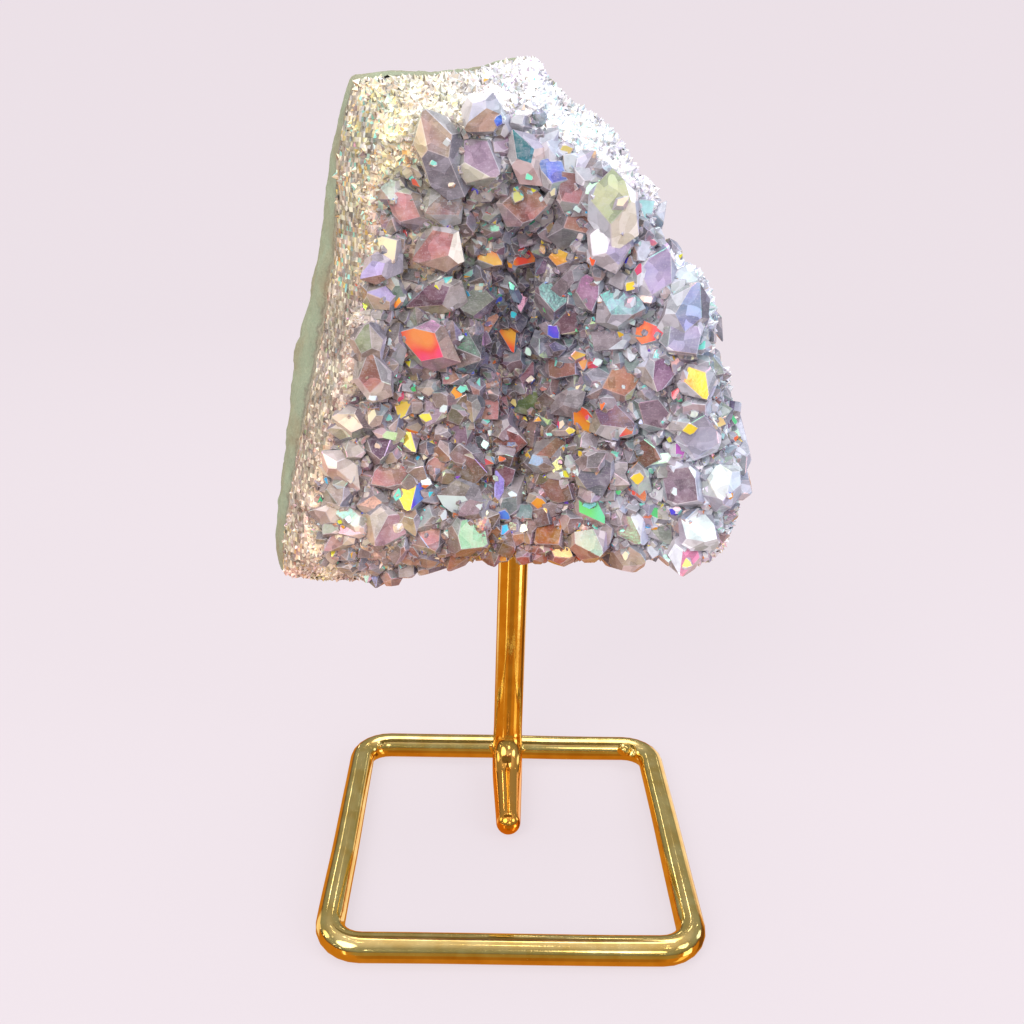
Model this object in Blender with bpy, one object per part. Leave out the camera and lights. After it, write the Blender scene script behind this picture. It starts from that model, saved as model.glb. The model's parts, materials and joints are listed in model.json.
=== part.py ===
"""An aura-coated amethyst cluster on a gilt wire stand.

The stand is a square ring of round wire with an upright rod, bent forward at its foot. The rod's top sits in
a hole drilled in the underside of the stone. The stone is a slab of dark rind, the rock matrix, whose hollow
front face carries one crust of quartz: a bed and the amethyst points that grew out of it.

Units are metres, +Z is up and -Y is the front. The origin is under the middle of the whole object, on the
surface that the ring rests on.
"""

import math
import random

import bmesh
import bpy
from mathutils import Matrix, Vector, noise

MM = 0.001

# The wire stand
WIRE_DIAMETER = 4.0 * MM
ROD_DIAMETER = 4.8 * MM
RING_SIDE = 50.0 * MM  # from centre line to centre line
RING_BEND = 4.6 * MM  # centre-line radius of the ring's corners
RING_CENTRE = Vector((2.3, -0.9, 0.0)) * MM
ROD_BEND = 6.5 * MM  # centre-line radius where the rod turns forward
FOOT_LENGTH = 19.6 * MM  # from the rod's axis to the tip of its foot
FOOT_TIP_SCALE = 0.80  # the sheared end is thinner than the rod
PEG_DEPTH = 13.0 * MM  # length of rod inside the stone
WIRE_SIDES = 12
GAP = 0.3 * MM  # between pieces that touch
WELD = 0.001 * MM

# The stone: its outline seen from the front, from the middle of its face, with X to the right and Z up
STONE_CENTRE = Vector((-0.7, 0.0, 80.0)) * MM
OUTLINE = (
    (28.6, -1.0), (28.8, 4.5), (27.6, 7.4), (24.6, 10.2), (21.6, 12.4), (18.8, 14.4), (18.2, 18.4),
    (16.4, 22.6), (14.4, 26.0), (11.6, 28.6), (8.5, 30.1), (4.8, 33.2), (3.4, 35.6), (0.0, 35.0),
    (-5.3, 33.8), (-11.0, 33.4), (-16.6, 33.2), (-20.2, 32.6), (-21.6, 28.8), (-23.4, 23.1),
    (-24.0, 18.6), (-24.9, 14.1), (-25.9, 10.0), (-27.0, 6.1), (-28.0, 1.5), (-29.6, -4.2),
    (-30.8, -11.0), (-31.8, -19.8), (-32.4, -27.0), (-32.9, -33.0), (-32.6, -37.2), (-24.5, -36.8),
    (-17.0, -35.8), (-10.3, -34.0), (-5.1, -32.0), (0.0, -31.1), (5.0, -31.2), (10.0, -31.5),
    (15.0, -31.6), (19.6, -31.6), (24.0, -31.5), (28.0, -32.6), (31.6, -30.8), (33.4, -26.0),
    (34.4, -20.5), (33.9, -16.0), (32.7, -10.0), (31.5, -5.6),
)
# Values that change round the outline, by degrees from +X towards +Z
CRUST_INSET = {0: 0.8, 45: 0.8, 80: 1.0, 125: 1.8, 160: 3.6, 200: 4.9, 222: 4.0, 245: 1.4, 270: 0.4,
               315: 0.6}
ROCK_INSET = {0: 3.6, 45: 2.8, 80: 0.7, 120: 0.5, 200: 0.6, 225: 0.6, 245: 1.2, 270: 1.6, 315: 3.2}
WIDEST_DEPTH = {0: 9.0, 80: 9.0, 125: 11.0, 180: 12.0, 210: 11.0, 225: 7.0, 245: 4.0, 270: 4.0, 315: 7.0}
CREST = {0: 0.86, 45: 0.84, 90: 0.78, 135: 0.74, 180: 0.74, 215: 0.80, 270: 0.92, 315: 0.90}
RIM_DROP = {0: 6.0, 45: 6.0, 90: 6.0, 135: 8.0, 180: 9.0, 215: 7.0, 235: 3.5, 270: 2.0, 315: 3.5}
RIM_THICKNESS = {0: 8.0, 45: 7.0, 85: 2.0, 125: 1.6, 200: 1.6, 240: 2.6, 280: 3.4, 320: 6.5}
CREST_DEPTH = -5.2 * MM
BACK_DEPTH = 27.0 * MM
OPEN_DEPTH = -25.0 * MM  # well in front of every point
BOWL = 6.0 * MM
VALLEY = 5.5 * MM
VALLEY_WIDTH = 5.2 * MM
BED_THICKNESS = 3.0 * MM
LUMPS = 1.0 * MM  # relief of the rind

# Rings of the two lofts: how far out each one lies, and on the rock, how far back
BED_FRONT = (0.0, 0.18, 0.36, 0.53, 0.67, 0.79, 0.88, 0.95, 1.0)
BED_BACK = (1.0, 0.83, 0.66, 0.49, 0.32, 0.16, 0.0)
ROCK_SIDE = ((0.55, 0.30), (1.0, 1.0), (0.995, 1.35), (0.975, 1.65), (0.90, 1.84), (0.74, 1.94),
             (0.48, 1.985), (0.22, 1.997), (0.0, 2.0))

# Amethyst points that stand out on the face: X, Z and radius
LARGE_POINTS = (
    (-2.6, 22.4, 3.6), (-8.0, 17.2, 3.0), (-9.6, 11.8, 3.9), (-9.0, 26.0, 2.6), (-3.6, 26.8, 2.2),
    (-12.8, 17.2, 2.1), (-14.6, 12.0, 1.9), (-16.4, 9.4, 1.7), (-15.2, 6.6, 2.0), (-9.6, 6.2, 2.7),
    (-4.4, 6.6, 3.0), (-10.6, 0.6, 3.5), (-4.8, 0.6, 2.8), (-17.4, 1.2, 2.0), (-16.8, -3.0, 2.4),
    (-6.2, -3.4, 2.2), (-17.6, -9.8, 2.0), (-12.8, -7.8, 1.9), (-12.0, -12.6, 2.0), (-15.8, -13.0, 2.3),
    (-14.6, -17.2, 3.0), (-8.4, -16.4, 2.0), (-4.4, -16.6, 2.7), (-12.2, -20.4, 2.4), (-6.2, -21.0, 2.3),
    (-14.6, -25.4, 3.7), (-9.0, -25.6, 2.8), (-3.4, -25.6, 3.1), (-19.8, -24.4, 2.2), (-21.4, -20.0, 2.0),
    (-5.6, -11.6, 2.4), (-2.0, -7.6, 2.4), (-8.8, -8.6, 2.2), (2.6, 17.8, 2.9), (1.4, 24.8, 1.9),
    (5.2, 22.0, 1.9), (8.0, 20.0, 2.3), (9.2, 16.2, 1.9), (12.6, 19.4, 2.9), (13.8, 14.0, 3.5),
    (19.0, 10.6, 2.8), (23.6, 6.8, 3.1), (-1.8, 11.4, 2.0), (2.4, 11.4, 2.0), (7.2, 11.6, 2.0),
    (6.6, 7.4, 2.7), (2.2, 6.6, 2.0), (10.6, 7.2, 2.2), (15.2, 6.2, 2.7), (7.8, 3.2, 2.3),
    (12.8, 2.4, 2.9), (19.0, 2.4, 2.3), (23.0, 1.8, 2.4), (0.8, 1.6, 2.1), (7.6, -1.8, 2.5),
    (0.2, -3.0, 2.0), (10.8, -4.6, 2.1), (15.6, -3.6, 2.5), (20.6, -2.8, 2.5), (25.4, -4.2, 2.3),
    (15.2, -8.8, 3.4), (20.4, -8.4, 2.5), (10.6, -8.8, 2.1), (3.6, -7.2, 2.4), (26.0, -10.8, 3.4),
    (6.8, -13.4, 2.5), (19.0, -13.8, 2.3), (1.4, -12.6, 2.2), (12.8, -16.8, 3.1), (7.6, -18.6, 2.8),
    (0.0, -17.4, 2.6), (18.4, -18.4, 2.4), (12.6, -21.6, 2.3), (24.2, -18.0, 3.3), (29.4, -17.6, 2.6),
    (6.8, -24.8, 2.4), (12.6, -26.2, 2.9), (17.8, -24.6, 2.4), (1.6, -24.0, 2.1), (22.2, -24.2, 2.7),
    (27.4, -24.0, 2.6), (26.0, -28.6, 2.2), (-22.0, -27.0, 2.0), (18.6, -28.4, 2.0),
)
POINT_GIRTH = 1.3  # neighbours grow into each other
POINT_COUNT = 112
POINT_RADIUS = (1.2 * MM, 2.0 * MM)
POINT_SPACING = 0.80  # of the two radii that meet
POINT_SEED = 11
FACE_ANGLE = math.radians(51.8)  # of a termination face's normal from the point's axis
FACE_TURN = 25.0  # degrees, how far a point's front face may turn aside
LEAN = (0.25, 0.85)  # sideways, against the bed's own direction and the front
FIELD_EDGE = {0: 0.93, 30: 0.92, 60: 0.86, 80: 0.82, 103: 0.86, 119: 0.66, 150: 0.72, 206: 0.76, 230: 0.78,
              250: 0.93, 315: 0.95}


def around(keys, angle):
    """The value at this angle, eased between the keys on either side of it."""
    degrees = math.degrees(angle) % 360
    stops = sorted(keys.items())
    stops.append((stops[0][0] + 360, stops[0][1]))
    if degrees < stops[0][0]:
        degrees += 360
    for (low, before), (high, after) in zip(stops, stops[1:]):
        if low <= degrees <= high:
            share = (degrees - low) / (high - low)
            share = share * share * (3 - 2 * share)
            return before + (after - before) * share
    return stops[-1][1]


def outline_stops():
    """The outline's points as (angle, radius), in the order of their angles."""
    polar = [(math.atan2(z, x) % math.tau, math.hypot(x, z) * MM) for x, z in OUTLINE]
    polar.sort()
    return [(polar[-1][0] - math.tau, polar[-1][1])] + polar + [(polar[0][0] + math.tau, polar[0][1])]


STOPS = outline_stops()


def outline_radius(angle):
    angle %= math.tau
    for (low, before), (high, after) in zip(STOPS, STOPS[1:]):
        if low <= angle <= high:
            return before + (after - before) * (angle - low) / max(high - low, 1e-9)
    return STOPS[-1][1]


def crust_radius(angle):
    return outline_radius(angle) - around(CRUST_INSET, angle) * MM


def rock_radius(angle):
    return outline_radius(angle) - around(ROCK_INSET, angle) * MM


def face_depth(x, z):
    """Y of the crust's bed at a place on the face: a bowl with a valley in its middle and a falling rim."""
    angle = math.atan2(z, x)
    share = math.hypot(x, z) / crust_radius(angle)
    crest = around(CREST, angle)
    inside = min(share / crest, 1.0)
    depth = CREST_DEPTH + BOWL * (1 - inside**2)
    if share > crest:
        depth += around(RIM_DROP, angle) * MM * ((share - crest) / (1 - crest)) ** 1.25
    middle = 3.0 * MM + 0.06 * (-6.0 * MM - z)
    across = (x - middle) / VALLEY_WIDTH
    along = (z + 6.0 * MM) / (20.0 * MM)
    return depth + VALLEY * math.exp(-(across**2) - along**4)


def bed_thickness(angle, share):
    """The bed is as thick as its rim at the edge, and eases to its thickness in the middle."""
    rim = around(RIM_THICKNESS, angle) * MM
    inward = min(max((1.0 - share) / 0.45, 0.0), 1.0)
    return rim + (BED_THICKNESS - rim) * inward


def bed_back(x, z):
    angle = math.atan2(z, x)
    share = min(math.hypot(x, z) / crust_radius(angle), 1.0)
    return face_depth(x, z) + bed_thickness(angle, share)


def material(name, colour, roughness, metallic=0.0):
    made = bpy.data.materials.new(name)
    made.use_nodes = True
    shader = made.node_tree.nodes["Principled BSDF"]
    shader.inputs["Base Color"].default_value = (*colour, 1.0)
    shader.inputs["Roughness"].default_value = roughness
    shader.inputs["Metallic"].default_value = metallic
    return made


def add_object(name, mesh, finish, collection):
    mesh.materials.clear()
    mesh.materials.append(finish)
    made = bpy.data.objects.new(name, mesh)
    collection.objects.link(made)
    return made


def mesh_from(name, bm):
    bmesh.ops.recalc_face_normals(bm, faces=bm.faces)
    mesh = bpy.data.meshes.new(name)
    bm.to_mesh(mesh)
    bm.free()
    return mesh


def evaluated_mesh(source):
    """The source object's mesh with its modifiers or its curve's bevel."""
    graph = bpy.context.evaluated_depsgraph_get()
    return bpy.data.meshes.new_from_object(source.evaluated_get(graph))


def weld(mesh):
    """Closes a curve's caps, and drops the slivers that a union leaves."""
    bm = bmesh.new()
    bm.from_mesh(mesh)
    bmesh.ops.remove_doubles(bm, verts=bm.verts, dist=WELD)
    bmesh.ops.dissolve_degenerate(bm, edges=bm.edges, dist=WELD)
    bm.to_mesh(mesh)
    bm.free()


def tube(name, points, radii, diameter, cyclic, collection):
    """A tube of round wire along the points, with a flat facet of its section facing down."""
    curve = bpy.data.curves.new(name, "CURVE")
    curve.dimensions = "3D"
    curve.bevel_depth = diameter / 2
    curve.bevel_resolution = WIRE_SIDES // 2 - 2
    curve.use_fill_caps = not cyclic
    curve.twist_mode = "MINIMUM"
    spline = curve.splines.new("POLY")
    spline.points.add(len(points) - 1)
    for target, point, radius in zip(spline.points, points, radii):
        target.co = (*point, 1.0)
        target.radius = radius
        target.tilt = math.pi / WIRE_SIDES
    spline.use_cyclic_u = cyclic
    source = bpy.data.objects.new(name + "_path", curve)
    collection.objects.link(source)
    bpy.context.view_layer.update()
    mesh = evaluated_mesh(source)
    weld(mesh)
    bpy.data.objects.remove(source)
    bpy.data.curves.remove(curve)
    mesh.name = name
    return mesh


def arc(centre, radius, start, end, steps):
    """Points in the XY plane from one angle to another, in degrees."""
    angles = [math.radians(start + (end - start) * k / steps) for k in range(steps + 1)]
    return [Vector((centre[0] + radius * math.cos(a), centre[1] + radius * math.sin(a))) for a in angles]


def ring_points():
    reach = RING_SIDE / 2 - RING_BEND
    corners = ((reach, -reach, -90), (reach, reach, 0), (-reach, reach, 90), (-reach, -reach, 180))
    flat = [p for x, y, start in corners for p in arc((x, y), RING_BEND, start, start + 90, 6)]
    lift = WIRE_DIAMETER / 2 * math.cos(math.pi / WIRE_SIDES)
    return [RING_CENTRE + Vector((p.x, p.y, lift)) for p in flat]


def rod_place():
    """Where the rod's axis stands: against the front of the ring's back bar."""
    back = RING_SIDE / 2 - (WIRE_DIAMETER + ROD_DIAMETER) / 2 - GAP
    return RING_CENTRE + Vector((0.0, back, 0.0))


def rod_path():
    """The rod's points and its scale at each, from the stone down, round the bend and to the foot's tip."""
    axis = rod_place()
    lift = ROD_DIAMETER / 2 * math.cos(math.pi / WIRE_SIDES)
    top = rod_top()
    points = [Vector((axis.x, axis.y, top - 1.0 * MM)), Vector((axis.x, axis.y, lift + ROD_BEND))]
    scales = [1.0, 1.0]
    for k in range(1, 8):
        turn = math.pi / 2 * k / 7
        y, z = axis.y - ROD_BEND * (1 - math.cos(turn)), lift + ROD_BEND * (1 - math.sin(turn))
        points.append(Vector((axis.x, y, z)))
        scales.append(1.0 + 0.05 * math.sin(math.pi * k / 7))
    start, tip = axis.y - ROD_BEND, axis.y - FOOT_LENGTH
    round_end = ROD_DIAMETER / 2 * FOOT_TIP_SCALE
    for share in (0.5, 1.0):
        points.append(Vector((axis.x, start + (tip + round_end - start) * share, lift)))
        scales.append(1.0 + (FOOT_TIP_SCALE - 1.0) * share)
    for turn in (30, 55, 75):
        angle = math.radians(turn)
        points.append(Vector((axis.x, tip + round_end * (1 - math.sin(angle)), lift)))
        scales.append(FOOT_TIP_SCALE * math.cos(angle))
    points.insert(0, Vector((axis.x, axis.y, top)))
    scales.insert(0, 0.8)
    return points, scales


def rod_top():
    return underside() + PEG_DEPTH


def underside():
    """Height of the stone's underside over the rod."""
    axis = rod_place()
    angle = math.atan2(-32.0 * MM, axis.x - STONE_CENTRE.x)
    return STONE_CENTRE.z + rock_radius(angle) * math.sin(angle)


def build_ring(collection, helpers, finish):
    points = ring_points()
    mesh = tube("base_ring", points, [1.0] * len(points), WIRE_DIAMETER, True, helpers)
    ring = add_object("base_ring", mesh, finish, collection)
    place = RING_CENTRE + Vector((RING_SIDE / 2 - 4.2 * MM, RING_SIDE / 2 - 1.4 * MM, 1.9 * MM))
    bm = bmesh.new()
    bmesh.ops.create_uvsphere(bm, u_segments=10, v_segments=6, radius=1.0)
    size = Matrix.Diagonal((2.1 * MM, 1.3 * MM, 1.5 * MM, 1.0))
    bmesh.ops.transform(bm, matrix=Matrix.Translation(place) @ size, verts=bm.verts)
    lump = add_object("ring_weld_lump", mesh_from("ring_weld_lump", bm), finish, helpers)
    join(ring, lump)
    return ring


def build_rod(collection, helpers, finish):
    points, scales = rod_path()
    mesh = tube("upright_rod", points, scales, ROD_DIAMETER, False, helpers)
    return add_object("upright_rod", mesh, finish, collection)


def join(target, other, operation="UNION", solver="EXACT"):
    """A Boolean modifier whose result replaces the target's mesh. The other object is a hidden helper."""
    other.hide_render = True
    other.display_type = "WIRE"
    modifier = target.modifiers.new("join", "BOOLEAN")
    modifier.operation = operation
    modifier.solver = solver
    modifier.object = other
    bpy.context.view_layer.update()
    mesh = evaluated_mesh(target)
    target.modifiers.remove(modifier)
    finish = target.data.materials[0]
    target.data = mesh
    mesh.materials.clear()
    mesh.materials.append(finish)
    other.hide_set(True)


def keep_outer_shell(mesh):
    """Fills the pockets that grown-together points shut in, by dropping every shell but the largest."""
    bm = bmesh.new()
    bm.from_mesh(mesh)
    bm.faces.ensure_lookup_table()
    left = set(bm.faces)
    shells = []
    while left:
        shell, edge = [], [left.pop()]
        while edge:
            face = edge.pop()
            shell.append(face)
            for near in {f for e in face.edges for f in e.link_faces}:
                if near in left:
                    left.remove(near)
                    edge.append(near)
        shells.append(shell)
    shells.sort(key=len, reverse=True)
    inner = [face for shell in shells[1:] for face in shell]
    bmesh.ops.delete(bm, geom=inner, context="FACES")
    bm.to_mesh(mesh)
    bm.free()


def loft(name, rings, place):
    """A closed shape from a sphere with its poles front and back, whose rings are moved to their places."""
    bm = bmesh.new()
    turn = Matrix.Rotation(math.radians(90), 4, "X")
    bmesh.ops.create_uvsphere(bm, u_segments=len(OUTLINE), v_segments=len(rings) - 1, radius=1.0,
                              matrix=turn)
    for vertex in bm.verts:
        across = min(max(-vertex.co.y, -1.0), 1.0)
        ring = round(math.acos(across) / math.pi * (len(rings) - 1))
        pole = ring in (0, len(rings) - 1)
        turns = 0.0 if pole else math.atan2(vertex.co.z, vertex.co.x) / math.tau
        step = round(turns * len(OUTLINE)) % len(OUTLINE)
        vertex.co = place(STOPS[step + 1][0], rings[ring]) + STONE_CENTRE
    bmesh.ops.triangulate(bm, faces=bm.faces, quad_method="SHORT_EDGE")
    return mesh_from(name, bm)


def build_bed(collection, finish):
    rings = [("front", q) for q in BED_FRONT] + [("back", q) for q in BED_BACK]

    def place(angle, ring):
        side, share = ring
        radius = crust_radius(angle) * share
        x, z = radius * math.cos(angle), radius * math.sin(angle)
        depth = face_depth(x, z) if side == "front" else bed_back(x, z)
        return Vector((x, depth, z))

    return add_object("crystal_crust", loft("crystal_crust", rings, place), finish, collection)


def build_rock(collection, helpers, finish):
    rings = [("front", q, 0.0) for q in reversed(BED_BACK)]
    rings += [("side", scale, back) for scale, back in ROCK_SIDE]

    def behind_bed(angle, share):
        """A place just behind the bed, on the flats between the rings of the bed's own back."""
        outer = min(q for q in BED_BACK if q >= share)
        inner = max(q for q in BED_BACK if q <= share)
        out = Vector((math.cos(angle), 0.0, math.sin(angle))) * crust_radius(angle)
        ends = [out * inner, out * outer]
        for end in ends:
            end.y = bed_back(end.x, end.z) + GAP
        return ends[0].lerp(ends[1], (share - inner) / (outer - inner) if outer > inner else 0.0)

    def place(angle, ring):
        part, share, back = ring
        edge = min(1.0, rock_radius(angle) / crust_radius(angle))
        if part == "front":
            return behind_bed(angle, min(share, edge))
        front_radius = edge * crust_radius(angle)
        rim = behind_bed(angle, edge).y
        wide = max(around(WIDEST_DEPTH, angle) * MM, rim + 1.5 * MM)
        if back < 1.0:
            radius = front_radius + (rock_radius(angle) - front_radius) * share
            depth = rim + (wide - rim) * back
        else:
            radius = share * (rock_radius(angle) * share + 31.0 * MM * (1.0 - share))
            depth = wide + (BACK_DEPTH - wide) * (back - 1.0)
        point = Vector((radius * math.cos(angle), depth, radius * math.sin(angle)))
        lump = noise.noise_vector(point / (9.0 * MM)) + 0.5 * noise.noise_vector(point / (4.0 * MM))
        calm = 0.0 if share == 0.0 else 1.0
        return point + Vector((lump.x, lump.y * 0.8, lump.z)) * LUMPS * calm * min(1.0, back)

    rock = add_object("rock_matrix", loft("rock_matrix", rings, place), finish, collection)
    axis = rod_place()
    bm = bmesh.new()
    length = PEG_DEPTH + 10.0 * MM
    bmesh.ops.create_cone(bm, cap_ends=True, segments=16, radius1=ROD_DIAMETER / 2 + GAP,
                          radius2=ROD_DIAMETER / 2 + GAP, depth=length)
    middle = Vector((axis.x, axis.y, rod_top() + GAP - length / 2))
    bmesh.ops.translate(bm, vec=middle, verts=bm.verts)
    drill = add_object("rod_hole_drill", mesh_from("rod_hole_drill", bm), finish, helpers)
    join(rock, drill, "DIFFERENCE")
    return rock


def face_normal(x, z):
    step = 0.6 * MM
    slope_x = (face_depth(x + step, z) - face_depth(x - step, z)) / (2 * step)
    slope_z = (face_depth(x, z + step) - face_depth(x, z - step)) / (2 * step)
    return Vector((slope_x, -1.0, slope_z)).normalized()


def point_mesh(x, z, radius, rng):
    """One quartz point on the bed: a six-sided prism cut by three large and three small end faces."""
    radius *= POINT_GIRTH
    rise = radius * rng.uniform(0.7, 1.1)
    depth = rise + 2.0 * radius + 4.0 * MM
    bm = bmesh.new()
    bmesh.ops.create_cone(bm, cap_ends=True, segments=6, radius1=radius, radius2=radius, depth=depth)
    bmesh.ops.translate(bm, vec=(0.0, 0.0, rise + radius * 0.6 - depth / 2), verts=bm.verts)
    small = rng.choice((0.2, 0.45, 0.8))
    for k in range(6):
        turn = math.radians(30 + 60 * k)
        normal = Vector((math.cos(turn) * math.sin(FACE_ANGLE), math.sin(turn) * math.sin(FACE_ANGLE),
                         math.cos(FACE_ANGLE)))
        back_off = rng.uniform(0.0, 0.16) if k % 2 == 0 else small + rng.uniform(0.0, 0.2)
        cut = bmesh.ops.bisect_plane(bm, geom=bm.verts[:] + bm.edges[:] + bm.faces[:], plane_no=normal,
                                     plane_co=(0.0, 0.0, rise + radius * back_off), clear_outer=True)
        edges = [e for e in cut["geom_cut"] if isinstance(e, bmesh.types.BMEdge)]
        if edges:
            bmesh.ops.holes_fill(bm, edges=edges, sides=0)
    axis = point_axis(x, z, rng)
    across = (Vector((0.0, -1.0, 0.0)) + axis * axis.y).normalized()
    stand = Matrix((across, axis.cross(across), axis)).transposed().to_4x4()
    spin = Matrix.Rotation(math.radians(-30 + rng.uniform(-FACE_TURN, FACE_TURN)), 4, "Z")
    squeeze = Matrix.Diagonal((rng.uniform(0.82, 1.0), 1.0, 1.0, 1.0))
    root = Matrix.Translation(STONE_CENTRE + Vector((x, face_depth(x, z), z)))
    bmesh.ops.transform(bm, matrix=root @ stand @ spin @ squeeze, verts=bm.verts)
    return mesh_from("amethyst_point", bm)


def point_axis(x, z, rng):
    """Between square to the bed and forward, leaning to a random side, and outwards at the open rim."""
    angle = math.atan2(z, x)
    rim = min(max((math.hypot(x, z) / crust_radius(angle) - 0.78) / 0.2, 0.0), 1.0)
    outward = 0.25 * rim * max(0.0, math.cos(angle + 0.35))
    side, lean = rng.uniform(0.0, math.tau), rng.uniform(*LEAN)
    aside = Vector((lean * math.cos(side) + outward * math.cos(angle), -0.8,
                    lean * math.sin(side) + outward * math.sin(angle)))
    return (face_normal(x, z) + aside).normalized()


def point_places(rng):
    """The named points, then others tried at random and kept where no neighbour is too close."""
    kept = [(x * MM, z * MM, r * MM) for x, z, r in LARGE_POINTS]
    tries = 0
    while len(kept) < POINT_COUNT and tries < 12000:
        tries += 1
        x, z = rng.uniform(-36, 36) * MM, rng.uniform(-36, 36) * MM
        angle = math.atan2(z, x)
        if math.hypot(x, z) > around(FIELD_EDGE, angle) * crust_radius(angle):
            continue
        radius = rng.uniform(*POINT_RADIUS)
        if all(math.hypot(x - a, z - b) > POINT_SPACING * (radius + r) for a, b, r in kept):
            kept.append((x, z, radius))
    return kept


def build_root_space(helpers, finish):
    """Everything in front of the middle of the bed. A point's root is trimmed to it and ends in the bed."""
    rings = [("open", 0.0), ("open", 0.6), ("open", 1.3), ("root", 1.3)] + [("root", q) for q in BED_BACK]

    def place(angle, ring):
        side, share = ring
        x, z = crust_radius(angle) * math.cos(angle), crust_radius(angle) * math.sin(angle)
        inner = min(share, 1.0)
        middle = (face_depth(x * inner, z * inner) + bed_back(x * inner, z * inner)) / 2
        return Vector((x * share, OPEN_DEPTH if side == "open" else middle, z * share))

    return add_object("root_space", loft("root_space", rings, place), finish, helpers)


def grow_points(crust, helpers):
    """Fuses the points to the bed one after another, so that neighbours grow into each other."""
    rng = random.Random(POINT_SEED)
    finish = crust.data.materials[0]
    root_space = build_root_space(helpers, finish)
    for x, z, radius in point_places(rng):
        point = add_object("amethyst_point", point_mesh(x, z, radius, rng), finish, helpers)
        join(point, root_space, "INTERSECT", "MANIFOLD")
        join(crust, point, "UNION", "MANIFOLD")
        bpy.data.objects.remove(point)
    weld(crust.data)
    keep_outer_shell(crust.data)


def main():
    for old in list(bpy.data.objects):
        bpy.data.objects.remove(old)
    scene = bpy.context.scene
    parts = bpy.data.collections.new("aura_amethyst_on_stand")
    helpers = bpy.data.collections.new("cutters_and_guides")
    scene.collection.children.link(parts)
    scene.collection.children.link(helpers)
    gilt = material("gilt_wire", (0.83, 0.58, 0.22), 0.14, 1.0)
    rind = material("rind", (0.34, 0.36, 0.29), 0.8)
    amethyst = material("aura_amethyst", (0.50, 0.40, 0.56), 0.15)
    build_ring(parts, helpers, gilt)
    build_rod(parts, helpers, gilt)
    build_rock(parts, helpers, rind)
    crust = build_bed(parts, amethyst)
    grow_points(crust, helpers)


main()
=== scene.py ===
# %% [markdown]
# # An aura-coated amethyst cluster on a gilt wire stand
# A slab of geode stands on a rod over a square ring of wire. Its dark rind is the outside of the geode, and its face is
# a crust of amethyst points. A vapour of metal was baked onto the points, so each flat face flashes in its own colour.
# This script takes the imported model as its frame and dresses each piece: smooth wire, rough rind, coloured crystal
# faces, and the fine points and grains that are too small for the construction model.

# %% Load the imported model
import json
import math
import random

import bmesh
import bpy
import numpy as np
from mathutils import Matrix, Vector, kdtree, noise
from mathutils.bvhtree import BVHTree

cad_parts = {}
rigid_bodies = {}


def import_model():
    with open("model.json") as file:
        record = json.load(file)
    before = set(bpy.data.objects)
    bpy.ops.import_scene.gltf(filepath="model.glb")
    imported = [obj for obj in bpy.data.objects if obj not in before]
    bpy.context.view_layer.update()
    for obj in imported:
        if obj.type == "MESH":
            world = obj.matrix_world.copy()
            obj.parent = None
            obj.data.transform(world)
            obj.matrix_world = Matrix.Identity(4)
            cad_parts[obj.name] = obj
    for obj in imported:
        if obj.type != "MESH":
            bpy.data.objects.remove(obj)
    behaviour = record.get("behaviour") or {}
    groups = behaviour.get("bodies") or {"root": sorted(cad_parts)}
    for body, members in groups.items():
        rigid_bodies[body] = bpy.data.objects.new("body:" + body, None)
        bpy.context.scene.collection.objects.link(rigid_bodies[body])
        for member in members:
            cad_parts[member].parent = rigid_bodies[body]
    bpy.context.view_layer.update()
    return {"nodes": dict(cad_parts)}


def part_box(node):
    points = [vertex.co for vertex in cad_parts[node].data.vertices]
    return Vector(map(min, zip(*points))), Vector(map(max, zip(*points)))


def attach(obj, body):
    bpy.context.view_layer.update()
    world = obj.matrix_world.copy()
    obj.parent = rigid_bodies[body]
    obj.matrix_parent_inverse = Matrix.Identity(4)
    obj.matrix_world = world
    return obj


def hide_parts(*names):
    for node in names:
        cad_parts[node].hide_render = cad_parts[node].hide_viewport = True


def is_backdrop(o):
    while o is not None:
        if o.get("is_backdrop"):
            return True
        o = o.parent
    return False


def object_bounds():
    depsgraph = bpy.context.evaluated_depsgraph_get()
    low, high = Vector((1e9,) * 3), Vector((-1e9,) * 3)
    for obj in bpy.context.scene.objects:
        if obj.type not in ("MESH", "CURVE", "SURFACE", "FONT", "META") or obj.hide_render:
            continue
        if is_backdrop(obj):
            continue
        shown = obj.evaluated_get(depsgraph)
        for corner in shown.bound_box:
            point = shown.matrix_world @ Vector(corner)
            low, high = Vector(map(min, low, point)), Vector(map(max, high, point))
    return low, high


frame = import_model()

MM = 0.001
MERGE = 0.002 * MM
print("frame:", {name: len(node.data.polygons) for name, node in frame["nodes"].items()})

# %% [markdown]
# ## Small helpers
# A material is a tree of nodes, and a tree is quicker to read when each node is one line. `add_node` makes a node, sets
# its options and fills its inputs, either with a value or with another node's output. Colours are written as they look
# on a screen, and `tone` turns them into the linear numbers that Blender reckons with.


# %% Node and mesh helpers
def add_node(tree, kind, inputs=None, **options):
    made = tree.nodes.new(kind)
    for name, value in options.items():
        setattr(made, name, value)
    for name, value in (inputs or {}).items():
        if isinstance(value, bpy.types.NodeSocket):
            tree.links.new(value, made.inputs[name])
        else:
            made.inputs[name].default_value = value
    return made


def tone(hex_colour):
    """Linear red, green and blue from a screen colour such as 8a7684."""
    parts = [int(hex_colour[k : k + 2], 16) / 255 for k in (0, 2, 4)]
    return np.array([p / 12.92 if p < 0.04045 else ((p + 0.055) / 1.055) ** 2.4 for p in parts])


def opaque(colour):
    return (*[float(c) for c in colour], 1.0)


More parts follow.
